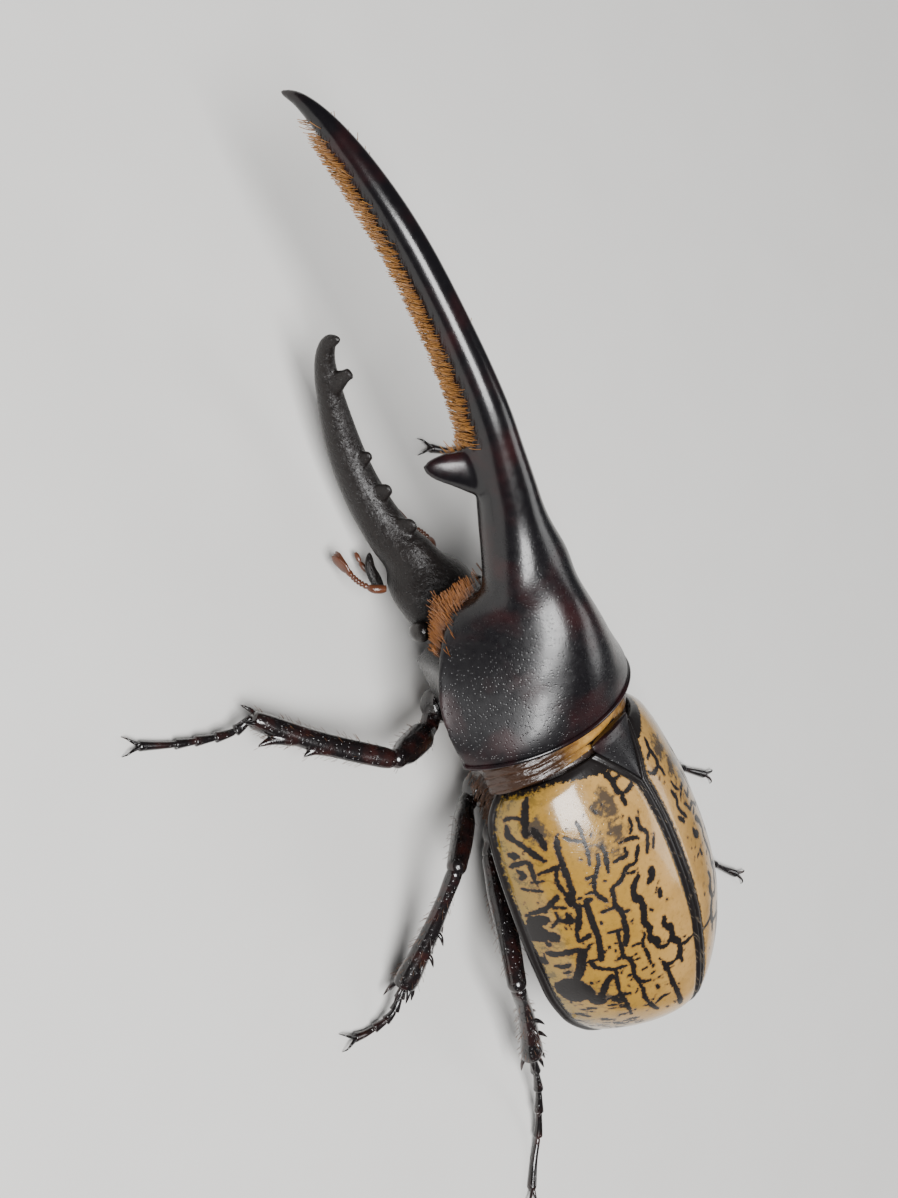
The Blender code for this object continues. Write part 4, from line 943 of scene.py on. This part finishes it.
red_brown = brown_paint()
stalk_shares = np.linspace(0, 1, 80)
stalk = beaded(stalk_shares, FEELER_BEADS)
palp_size = beaded(stalk_shares, PALP_BEADS)
leaf_shares = np.linspace(0, 1, 24)
leaf_wide = curve(leaf_shares, (0, .15), (.06, .3), (.4, .32), (.8, .3), (1, .08))
leaf_high = curve(leaf_shares, (0, .3), (.1, .6), (.35, .98), (.7, 1.0), (.92, .6), (1, .1))
jaw_shares = np.linspace(0, 1, 30)
jaw_wide = curve(jaw_shares, (0, .9), (.25, 1.15), (.55, 1.0), (.8, .75), (.97, .3), (1, .08))
for side, word in ((1, "left"), (-1, "right")):
    stalk_path = [(side * 6.3, 36.9, 9.9), (side * 7.9, 38.0, 8.8), (side * 8.4, 39.8, 7.0),
                  (side * 7.9, 41.6, 5.2)]
    feeler = [rings_along(stalk_path, stalk_shares, stalk, stalk, 16, (0, 1, 1))]
    for spread in (-1, 0, 1):
        leaf_path = [(side * 8.0, 41.2, 5.6), (side * (7.7 + .4 * spread), 43.0, 4.4 + .2 * spread),
                     (side * (7.4 + .8 * spread), 44.8, 3.4 + .3 * spread)]
        feeler.append(rings_along(leaf_path, leaf_shares, leaf_wide, leaf_high, 16, (0, 1, 1)))
    antenna = joined("feeler_" + word, feeler, red_brown)
    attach(antenna, "root")
    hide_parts("antenna_" + word)

    jaw_path = [(side * 2.9, 35.9, 4.7), (side * 2.9, 39.2, 4.6), (side * 1.5, 41.6, 4.5)]
    jaw = skin("jaw_" + word, rings_along(jaw_path, jaw_shares, jaw_wide, jaw_wide * 0.66, 24), dull_black)
    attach(jaw, "root")
    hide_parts("mandible_" + word)

    palp_path = [(side * 1.5, 36.0, 3.8), (side * 2.4, 39.4, 2.7), (side * 2.0, 42.2, 1.9)]
    palp_rings = rings_along(palp_path, stalk_shares, palp_size, palp_size, 16)
    palp = skin("mouth_feeler_" + word, palp_rings, red_brown)
    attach(palp, "root")
    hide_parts("palp_" + word)

# Legs. Six legs of hard black shell with red-brown depths: a barrel at the body, a thick upper leg, a spined
# lower leg, five beads and two claws. The joints turn in one another, so no gap shows at them.
LEG_ROOT_UP = 7.3
LEG_VOXEL = 0.16
# Each leg's spots left, forward and up: where it leaves the body, its joints and the line of its foot.
LEGS = {
    "left_fore": {
        "root": (5.6, 14.6), "hip": (9.7, 12.4, 7.8), "knee": (22.4, 14.8, 12.6),
        "ankle": (37.6, 32.8, 4.8),
        "foot": ((41.0, 32.4, 3.0), (48.5, 35.6, 1.2), (54.5, 39.2, 0.7)),
        "thick": 2.4,
    },
    "left_mid": {
        "root": (5.6, -2.2), "hip": (9.8, -2.8, 7.6), "knee": (24.1, -4.9, 16.0),
        "ankle": (35.6, -20.2, 4.4),
        "foot": ((39.0, -23.0, 2.9), (43.0, -23.3, 1.0), (46.0, -22.2, 0.7)),
        "thick": 2.0,
    },
    "left_hind": {
        "root": (5.8, -11.0), "hip": (9.8, -13.4, 7.4), "knee": (23.8, -28.8, 16.0),
        "ankle": (21.4, -46.0, 8.2),
        "foot": ((20.7, -53.3, 5.0), (21.5, -58.5, 3.0), (23.1, -62.9, 1.6), (25.7, -66.4, 0.75),
                 (29.2, -70.2, 0.7)),
        "thick": 2.0,
    },
    "right_fore": {
        "root": (-5.6, 14.6), "hip": (-9.7, 12.4, 7.8), "knee": (-22.5, 17.5, 12.6),
        "ankle": (-36.5, 36.5, 4.8),
        "foot": ((-33.5, 43.5, 2.2), (-29.0, 45.4, 0.9), (-24.4, 48.4, 0.7)),
        "thick": 2.4,
    },
    "right_mid": {
        "root": (-5.6, -2.2), "hip": (-9.8, -2.8, 7.6), "knee": (-23.0, -10.5, 14.5),
        "ankle": (-39.0, -25.0, 6.5),
        "foot": ((-44.0, -30.0, 3.4), (-50.0, -35.8, 1.0), (-55.0, -40.5, 0.7)),
        "thick": 2.0,
    },
    "right_hind": {
        "root": (-5.8, -11.0), "hip": (-9.8, -13.4, 7.4), "knee": (-26.7, -24.9, 15.0),
        "ankle": (-34.5, -43.0, 7.6),
        "foot": ((-39.0, -48.2, 4.6), (-44.6, -54.4, 2.2), (-48.6, -58.9, 0.9), (-51.6, -62.4, 0.7)),
        "thick": 2.0,
    },
}
# Each bead of a foot: its share of the foot's length, and half its width where it starts and ends.
FOOT_BEADS = ((.17, .6, 1.0), (.17, .58, .94), (.17, .56, .9), (.17, .56, .88), (.32, .52, .86))


def leg_paint():
    made, shader, places = new_paint("red_black_leg", 0.2, coat=0.35)
    depth = places.noise(0.35, 3.0).rising(0.45, 0.8)
    depth.mix((0.0045, 0.0032, 0.0034), (0.022, 0.0055, 0.0045)).into(shader.inputs["Base Color"])
    pits = places.cells(1.4).rising(0.12, 0.36)
    relief(pits * 0.8 + places.noise(3.0, 2.0) * 0.2, shader, 0.12)
    (places.noise(1.2, 2.0) * 0.18 + 0.12).into(shader.inputs["Roughness"])
    return made


def rounded(distance, radius):
    """1 along a limb, falling to 0 as a round end within radius of its tip."""
    return np.sqrt(np.clip(1 - (1 - np.clip(distance / radius, 0, 1)) ** 2, 0.0004, 1))


def limb(points, knots_wide, knots_high, end_radius=1.2):
    """Rings of a leg segment with round ends, from half sizes at shares of its length."""
    shares = 0.5 - 0.5 * np.cos(np.linspace(0, math.pi, 90))
    length = smooth_path(points, [0, 1])[2]
    ends = rounded(shares * length, 1.2) * rounded((1 - shares) * length, end_radius)
    wide, high = curve(shares, *knots_wide) * ends, curve(shares, *knots_high) * ends
    return rings_along(points, shares, wide, high, 28)


def hook_rings(root, middle, tip, radius):
    shares = np.linspace(0, 1, 20)
    size = radius * curve(shares, (0, 1.0), (.5, .68), (.9, .25), (1, .04))
    return rings_along([root, middle, tip], shares, size, size, 12, (0.3, 0.2, 1))


def spun(degrees, from_way, to_way):
    """A direction that many degrees from one way towards another at right angles to it."""
    return from_way * math.cos(math.radians(degrees)) + to_way * math.sin(math.radians(degrees))


def barrel_rings(root):
    """The short, round stump under the body that turns in it and carries a leg."""
    turns = np.linspace(0, 2 * math.pi, 40, endpoint=False)
    ups = np.linspace(UNDERSIDE + 0.4, 5.2, 30)[:, None]
    size = curve(ups, (5.2, .1), (5.4, 1.0), (6.0, 2.2), (7.0, 2.9), (8.2, 3.1), (9.2, 2.9))
    return np.stack([root[0] + size * np.cos(turns), root[1] + size * np.sin(turns), ups + 0 * turns], -1)


def digging_tooth(spot, out, along_leg, reach, lean, size):
    """A broad tooth on the outer edge of a fore leg."""
    middle = spot + out * reach * 0.5 + along_leg * (lean * 0.5 + 0.4)
    return hook_rings(spot + out * 0.6, middle, spot + out * reach + along_leg * lean, size)


def spur_row(spot, out, rise, along_leg):
    """Three short spurs in a slanted row on the outer side of a middle or hind leg."""
    spurs = []
    for degrees in (0, 55, 110):
        outwards = spun(degrees, out, rise)
        start = spot + along_leg * degrees / 55 * 0.9
        spurs.append(hook_rings(start + outwards * 0.7, start + outwards * 1.9 + along_leg * 0.6,
                                start + outwards * 2.8 + along_leg * 1.8, .5))
    return spurs


def end_spur(spot, outwards, along_leg, reach):
    """One of the spurs round the end of a lower leg."""
    middle = spot + outwards * (reach * 0.5 + 0.3) + along_leg * reach * 0.4
    return hook_rings(spot + outwards * 0.9, middle, spot + outwards * reach * 0.75 + along_leg * reach, .5)


def foot_rings(path):
    """The beads of a foot, each flaring towards its end, flat where they meet the floor."""
    shares = np.linspace(0, 1, 150)
    size = np.zeros_like(shares)
    start = 0.0
    for length, near_size, far_size in FOOT_BEADS:
        within = (shares - start) / length
        flare = near_size + (far_size - near_size) * np.clip(within, 0, 1) ** 1.4
        flare *= rounded(np.clip(1 - within, 0, 1), 0.10) * rounded(np.clip(within, 0, 1), 0.05)
        size = np.where((within >= 0) & (within <= 1), np.maximum(flare, 0.45), size)
        start += length
    rings = rings_along(path, shares, size, size, 20)
    rings[..., 2] = np.maximum(rings[..., 2], 0.0)
    return rings


def claw_rings(end, before):
    """The two hooked claws at the end of a foot."""
    ahead = unit((end - before) * (1, 1, 0))
    sideways = np.array([-ahead[1], ahead[0], 0])
    size = np.linspace(.42, .05, 24)
    claws = []
    for degrees in (-32, 32):
        outwards = spun(degrees, ahead, sideways)
        path = [end - ahead * 0.7 + (0, 0, .2), end + outwards * 1.3 + (0, 0, .45),
                end + outwards * 2.2 + (0, 0, .25), end + outwards * 2.75 + (0, 0, -.5)]
        claw = rings_along(path, np.linspace(0, 1, 24), size, size, 12)
        claw[..., 2] = np.maximum(claw[..., 2], 0.05)
        claws.append(claw)
    return claws


leg_shell = leg_paint()
leg_skins = {}
for word, leg in LEGS.items():
    side = 1 if leg["hip"][0] > 0 else -1
    hip, knee, ankle = (np.array(leg[key], float) for key in ("hip", "knee", "ankle"))
    root = np.array([*leg["root"], LEG_ROOT_UP])
    foot = [np.array(spot, float) for spot in leg["foot"]]
    neck_path = [root, (root + hip) / 2, hip + unit(hip - root) * 0.5]
    neck = limb(neck_path, ((0, 1.7), (1, 1.55)), ((0, 1.6), (1, 1.55)))
    coxa = joined("hip_" + word, [barrel_rings(root), neck], leg_shell)

    thick = leg["thick"]
    down = unit(knee - hip)
    upper_path = [hip - down * 0.9, (hip + knee) / 2 + (0, 0, 0.35), knee + down * 0.9]
    upper_wide = ((0, 1.3), (.16, 1.65), (.32, thick), (.66, thick * .95), (.86, 1.7), (1, 1.6))
    upper_high = ((0, 1.3), (.16, 1.6), (.32, thick * .92), (.66, thick * .88), (.86, 1.65), (1, 1.6))
    femur = skin("upper_leg_" + word, limb(upper_path, upper_wide, upper_high, 1.6), leg_shell)

    along_leg = unit(ankle - knee)
    out = unit(np.cross(along_leg, (0, 0, 1))) * side
    rise = np.cross(out, along_leg) * side
    bow = (knee + ankle) / 2 + out * 0.6
    wide = ((0, 1.2), (.1, 1.3), (.25, 1.25), (.42, 1.45), (.6, 1.65), (.77, 1.9), (.92, 2.15), (1, 2.0))
    high = ((0, 1.2), (.1, 1.35), (.25, 1.25), (.42, 1.35), (.6, 1.5), (.77, 1.65), (.92, 1.85), (1, 1.7))
    if word.endswith("fore"):
        wide = ((0, 1.3), (.1, 1.7), (.25, 1.75), (.42, 1.75), (.6, 1.7), (.77, 1.65), (.92, 1.55), (1, 1.3))
    lower = limb([knee - along_leg * 0.4, bow, ankle], wide, high, 0.7)
    low_tooth, first_row, second_row, high_tooth, leg_end = smooth_path([knee, bow, ankle],
                                                                        [.45, .46, .64, .69, .955])[0]
    if word.endswith("fore"):
        teeth = [digging_tooth(low_tooth, out, along_leg, 2.9, 4.0, 1.2),
                 digging_tooth(high_tooth, out, along_leg, 3.4, 5.6, 1.25)]
        tibia = grown_together("lower_leg_" + word, [lower] + teeth, LEG_VOXEL, 5, leg_shell)
        spurs = []
        turns = ((205 if np.dot(foot[0] - ankle, out) > 0 else -40, 2.8), (60, 3.2))
    else:
        tibia = skin("lower_leg_" + word, lower, leg_shell)
        spurs = spur_row(first_row, out, rise, along_leg) + spur_row(second_row, out, rise, along_leg)
        turns = ((-15, 3.2), (40, 2.7), (95, 2.7), (150, 3.0), (215, 3.4), (275, 3.4))
    for degrees, reach in turns:
        spurs.append(end_spur(leg_end, spun(degrees, out, rise), along_leg, reach))
    spurs = joined("spurs_" + word, spurs, leg_shell)

    tarsus = skin("foot_" + word, foot_rings([ankle - unit(foot[0] - ankle) * 0.3] + foot), leg_shell)
    claws = joined("claws_" + word, claw_rings(foot[-1], foot[-2]), leg_shell)
    for made, nodes in ((coxa, ["coxa_" + word]), (femur, ["femur_" + word]), (tibia, ["tibia_" + word]),
                        (spurs, []), (tarsus, ["tarsus_" + word]), (claws, [])):
        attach(made, "root")
        if nodes:
            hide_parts(*nodes)
    leg_skins[word] = ((femur, hip, knee, "upper_leg_hair_", 0.4),
                       (tibia, knee, ankle, "lower_leg_hair_", 0.9))

# Bristles. Stiff, springy hairs of the same hard stuff as the shell, each set in a pit of its own: a golden
# brush under the upper horn, an orange fringe round the head, brown hairs on the legs and under the chest,
# and a few pale ones beside the seam of the wing covers.


PATCH_SIZE = 0.003
SPENT_FIELDS = ("growth", "lie", "unwrap", "long", "around", "pitted", "crack", "stain", "from_rim",
                "from_seam", "from_front")


def bristle_tree():
    """Tapered bristles on a skin with the fields growth, lie and unwrap, and the inputs' identifiers."""
    tree = bpy.data.node_groups.new("bristles", "GeometryNodeTree")
    for name, kind in (("Skin", "Geometry"), ("Per Square Millimetre", "Float"), ("Length", "Float"),
                       ("Root Radius", "Float"), ("Lean", "Float"), ("Droop", "Float"), ("Stray", "Float"),
                       ("Seed", "Int"), ("Paint", "Material")):
        tree.interface.new_socket(name, in_out="INPUT", socket_type="NodeSocket" + kind)
    tree.interface.new_socket("Bristles", in_out="OUTPUT", socket_type="NodeSocketGeometry")
    identifiers = {item.name: item.identifier for item in tree.interface.items_tree if item.in_out == "INPUT"}
    wire = Wire(tree)
    given = tree.nodes.new("NodeGroupInput").outputs
    given = {name: Wire(tree, given[name]) for name in identifiers}

    def named(name, kind):
        return wire.node("GeometryNodeInputNamedAttribute", {"data_type": kind}, {"Name": name}, "Attribute")

    def vector(operation, first, second, input_name=1):
        return wire.node("ShaderNodeVectorMath", {"operation": operation}, {0: first, input_name: second})

    density = named("growth", "FLOAT") * given["Per Square Millimetre"] * 1e6
    scattered = wire.node("GeometryNodeDistributePointsOnFaces", {"distribute_method": "RANDOM"},
                          {"Mesh": given["Skin"], "Density": density, "Seed": given["Seed"]}, "Points")
    normal = Wire(tree, scattered.socket.node.outputs["Normal"])
    share = wire.node("FunctionNodeRandomValue", {"data_type": "FLOAT"},
                      {2: 0.55, 3: 1.1, "Seed": given["Seed"]}, 1)
    roots = wire.node("GeometryNodeStoreNamedAttribute", {"data_type": "FLOAT", "domain": "POINT"},
                      {"Geometry": scattered, "Name": "long", "Value": share * given["Length"] * MM})
    stray = wire.node("FunctionNodeRandomValue", {"data_type": "FLOAT_VECTOR"},
                      {0: (-1.0, -1.0, -1.0), 1: (1.0, 1.0, 1.0), "Seed": given["Seed"] + 7}, 0)
    start = vector("ADD", normal, vector("SCALE", named("lie", "FLOAT_VECTOR"), given["Lean"], "Scale"))
    start = vector("ADD", start, vector("SCALE", stray, given["Stray"], "Scale"))
    turned = wire.node("FunctionNodeAlignRotationToVector", {"axis": "Z"}, {"Vector": start})
    root_radius = given["Root Radius"] * MM
    size = wire.node("ShaderNodeCombineXYZ", {}, {0: root_radius, 1: root_radius, 2: named("long", "FLOAT")})

    part_way = wire.node("GeometryNodeSplineParameter", out="Factor")
    shaft = wire.node("GeometryNodeCurvePrimitiveLine", {}, {"End": (0.0, 0.0, 1.0)})
    shaft = wire.node("GeometryNodeResampleCurve", {}, {"Curve": shaft, "Count": 5})
    shaft = wire.node("GeometryNodeSetCurveRadius", {}, {"Curve": shaft, "Radius": 1.0 - part_way * 0.85})
    shaft = wire.node("GeometryNodeStoreNamedAttribute", {"data_type": "FLOAT", "domain": "POINT"},
                      {"Geometry": shaft, "Name": "reach", "Value": part_way})
    outline = wire.node("GeometryNodeCurvePrimitiveCircle", {}, {"Resolution": 3, "Radius": 1.0})
    outline = wire.node("GeometryNodeStoreNamedAttribute", {"data_type": "FLOAT", "domain": "POINT"},
                        {"Geometry": outline, "Name": "around", "Value": part_way})
    bristle = wire.node("GeometryNodeCurveToMesh", {},
                        {"Curve": shaft, "Profile Curve": outline, "Fill Caps": True})

    grown = wire.node("GeometryNodeInstanceOnPoints", {}, {"Points": roots, "Instance": bristle,
                                                          "Rotation": turned, "Scale": size})
    grown = wire.node("GeometryNodeRealizeInstances", {}, {"Geometry": grown})
    reach = named("reach", "FLOAT")
    sag = reach * reach * named("long", "FLOAT") * given["Droop"]
    offset = vector("SCALE", named("lie", "FLOAT_VECTOR"), sag, "Scale")
    grown = wire.node("GeometryNodeSetPosition", {}, {"Geometry": grown, "Offset": offset})
    patch = wire.node("ShaderNodeCombineXYZ", {}, {0: (reach - 0.5) * PATCH_SIZE,
                                                  1: (named("around", "FLOAT") - 0.5) * PATCH_SIZE})
    grown = wire.node("GeometryNodeStoreNamedAttribute", {"data_type": "FLOAT2", "domain": "CORNER"},
                      {"Geometry": grown, "Name": "OFBake",
                       "Value": vector("ADD", named("unwrap", "FLOAT_VECTOR"), patch)})
    grown = wire.node("GeometryNodeSetShadeSmooth", {}, {"Geometry": grown})
    grown = wire.node("GeometryNodeRealizeInstances", {}, {"Geometry": grown})
    grown = wire.node("GeometryNodeSetMaterial", {}, {"Geometry": grown, "Material": given["Paint"]})
    grown.into(tree.nodes.new("NodeGroupOutput").inputs["Bristles"])
    return tree, identifiers


def hair_paint(name, root, tip):
    made, shader, places = new_paint(name, 0.38)
    reach = places.node("ShaderNodeAttribute", {"attribute_name": "reach"}, out="Fac")
    shade = places.noise(0.8, 2.0)
    colour = (reach * 0.7 + shade * 0.5 - 0.1).mix(root, tip)
    colour.into(shader.inputs["Base Color"])
    relief(places.noise(9.0, 2.0), shader, 0.01)
    return made


def world_way(directions):
    """Directions given left, forward and up as directions in the scene."""
    return unit(np.asarray(directions, float)) * (1, -1, 1)


def grow(name, grown_on, growth, lie, unwrap, sizes, paint):
    """Bristles on a piece, from its growth, lie and unwrap at each point and the tree's sizes."""
    base = grown_on.data.copy()
    store(base, "growth", growth)
    store(base, "lie", lie, "FLOAT_VECTOR")
    store(base, "unwrap", unwrap, "FLOAT_VECTOR")
    coat = bpy.data.objects.new(name, base)
    bpy.context.scene.collection.objects.link(coat)
    modifier = coat.modifiers.new("bristles", "NODES")
    modifier.node_group = bristles
    for field, value in sizes.items():
        modifier[bristle_inputs[field]] = value
    modifier[bristle_inputs["Paint"]] = paint
    bake(coat)
    for field in SPENT_FIELDS:
        if field in coat.data.attributes:
            coat.data.attributes.remove(coat.data.attributes[field])
    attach(coat, "root")
    return coat


def facing(made):
    """A piece's unit normals in beetle terms."""
    flat = np.zeros(len(made.data.vertices) * 3, np.float32)
    made.data.vertices.foreach_get("normal", flat)
    return flat.reshape(-1, 3).astype(float) * (1, -1, 1)


bristles, bristle_inputs = bristle_tree()
golden_hair = hair_paint("golden_bristles", (0.08, 0.027, 0.005), (0.34, 0.155, 0.036))
orange_hair = hair_paint("orange_bristles", (0.030, 0.009, 0.002), (0.24, 0.082, 0.012))
brown_hair = hair_paint("brown_bristles", (0.020, 0.009, 0.005), (0.13, 0.050, 0.016))
pale_hair = hair_paint("pale_bristles", (0.14, 0.10, 0.06), (0.34, 0.27, 0.18))

left, forward, up = shell_points.T
normals = facing(pronotum)
shell_turn = np.arctan2(up - 24.0, left) / (2 * math.pi) + 0.5
shell_unwrap = np.stack([0.02 + 0.96 * (forward - 5) / 110, 0.02 + 0.96 * shell_turn, 0 * up], -1)
under = np.clip(-normals[:, 2] * 1.8 + 0.1, 0, 1)
brush = under * np.clip((forward - 53) / 5, 0, 1) * np.clip((108 - forward) / 6, 0, 1) * (np.abs(left) < 4.2)
brush_lie = world_way(np.stack([left * 0.10, np.full_like(left, 1.0), np.full_like(left, -0.35)], -1))
grow("horn_brush", pronotum, brush, brush_lie, shell_unwrap,
     {"Per Square Millimetre": 14.0, "Length": 1.6, "Root Radius": 0.065, "Lean": 0.40, "Droop": 0.45,
      "Stray": 0.28, "Seed": 3}, golden_hair)

oval = np.hypot(left / 10.2, (up - 20.5) / 7.4)
mouth = near(oval - 1.12, 0.17) * np.clip(normals[:, 1] * 2.2 - 0.2, 0, 1) * (forward > 27)
mouth *= np.clip((up - 19) / 2, 0, 1)
mouth *= (forward < 36) * np.clip((27.5 - up) / 1.5, 0, 1)
fringe_lie = world_way(np.stack([-left * 0.035, np.ones_like(left), -(up - 20) * 0.03 - 0.1], -1))
grow("head_fringe", pronotum, np.clip(mouth * 1.5, 0, 1), fringe_lie, shell_unwrap,
     {"Per Square Millimetre": 14.0, "Length": 2.1, "Root Radius": 0.06, "Lean": 0.7, "Droop": 0.30,
      "Stray": 0.32, "Seed": 5}, orange_hair)

for word, segments in leg_skins.items():
    for made, start, end, name, dense in segments:
        along_leg = unit(end - start)
        offsets = beetle_points(made) - start
        spans = offsets @ along_leg / np.linalg.norm(end - start)
        side_way = unit(np.cross(along_leg, (0, 0, 1)))
        rise_way = np.cross(side_way, along_leg)
        turn = np.arctan2(offsets @ rise_way, offsets @ side_way) / (2 * math.pi) + 0.5
        growth = np.clip((spans - 0.12) / 0.1, 0, 1) * np.clip((0.97 - spans) / 0.05, 0, 1)
        growth *= 0.35 + 0.65 * (facing(made)[:, 2] < 0.35)
        unwrap = np.stack([0.03 + 0.94 * np.clip(spans, 0, 1), 0.03 + 0.94 * turn, 0 * turn], -1)
        lie = np.broadcast_to(world_way(along_leg), (len(spans), 3))
        grow(name + word, made, growth, lie, unwrap,
             {"Per Square Millimetre": dense, "Length": 1.1, "Root Radius": 0.035, "Lean": 0.9, "Droop": 0.2,
              "Stray": 0.25, "Seed": 11}, brown_hair)

left, forward, up = beetle_points(underbody).T
chest = (facing(underbody)[:, 2] < -0.3) * np.clip((forward + 16) / 4, 0, 1)
chest *= np.clip((4 - forward) / 2, 0, 1)
chest_lie = np.broadcast_to(world_way((0, -1, -0.2)), (len(left), 3))
turn = np.arctan2(up - 20, left) / (2 * math.pi) + 0.5
chest_unwrap = np.stack([0.02 + 0.96 * (forward + 51) / 56, 0.02 + 0.96 * turn, 0 * turn], -1)
grow("chest_hair", underbody, chest, chest_lie, chest_unwrap,
     {"Per Square Millimetre": 2.5, "Length": 2.0, "Root Radius": 0.05, "Lean": 0.8, "Droop": 0.3,
      "Stray": 0.3, "Seed": 17}, brown_hair)

for word, shell in cover_shells.items():
    left, forward, _ = beetle_points(shell).T
    seam_side = (np.abs(left) < 2.1) * (facing(shell)[:, 2] > 0.5) * (forward < -5) * (forward > -47)
    seam_lie = np.broadcast_to(world_way((0, -1, 0.1)), (len(left), 3))
    cover_unwrap = np.stack([0.02 + 0.96 * (COVER_FRONT - forward) / 54,
                             0.05 + 0.9 * np.abs(left) / COVER_HALF_WIDTH, 0 * left], -1)
    grow("seam_hair_" + word, shell, seam_side, seam_lie, cover_unwrap,
         {"Per Square Millimetre": 0.6, "Length": 0.6, "Root Radius": 0.02, "Lean": 1.6, "Droop": 0.1,
          "Stray": 0.4, "Seed": 23}, pale_hair)

# Camera, light and floor. The camera looks down on the beetle's left side and is turned, so that its horns
# point to the top of the picture. A large soft lamp above that side and a weak one behind light it.
camera = bpy.data.objects.new("camera", bpy.data.cameras.new("camera"))
bpy.context.scene.collection.objects.link(camera)
bpy.context.scene.camera = camera
camera.data.sensor_fit = "AUTO"
camera.data.sensor_width = 36.0
camera.data.lens = 52.84
sight = Vector((-0.64025, 0.3007, -0.70686)).normalized()
right = Vector((-0.58095, 0.41249, 0.70168)).normalized()
upward = right.cross(sight).normalized()
turn = Matrix((right, upward, -sight)).transposed()
stand = Vector((0.1815576, -0.0958412, 0.2156753))
camera.matrix_world = Matrix.LocRotScale(stand, turn.to_quaternion(), None)
camera.data.clip_start = 0.01

floor_mesh = bpy.data.meshes.new("floor")
floor_mesh.from_pydata([(-3, -3, 0), (3, -3, 0), (3, 3, 0), (-3, 3, 0)], [], [(0, 1, 2, 3)])
floor = bpy.data.objects.new("floor", floor_mesh)
bpy.context.scene.collection.objects.link(floor)
floor_paint, floor_shader, floor_places = new_paint("pale_floor", 0.7)
floor_places.noise(0.05, 3.0).mix((0.56, 0.55, 0.53), (0.60, 0.59, 0.57)).into(floor_shader.inputs["Base Color"])
floor_mesh.materials.append(floor_paint)


def lamp(name, place_at, target, width, depth, power):
    light = bpy.data.objects.new(name, bpy.data.lights.new(name, "AREA"))
    light.data.shape = "RECTANGLE"
    light.data.size = width
    light.data.size_y = depth
    light.data.energy = power
    light.location = place_at
    light.rotation_mode = "QUATERNION"
    light.rotation_quaternion = (Vector(target) - Vector(place_at)).to_track_quat("-Z", "Y")
    bpy.context.scene.collection.objects.link(light)


lamp("key", (0.50, -0.02, 0.78), (0, 0.01, 0.02), 0.50, 0.42, 22.0)
lamp("fill", (-0.6, 0.45, 0.7), (0, 0, 0.02), 0.5, 0.4, 2.5)
world = bpy.data.worlds.new("studio")
bpy.context.scene.world = world
world.use_nodes = True
world.node_tree.nodes["Background"].inputs["Color"].default_value = (0.9, 0.94, 1.0, 1.0)
world.node_tree.nodes["Background"].inputs["Strength"].default_value = 0.12
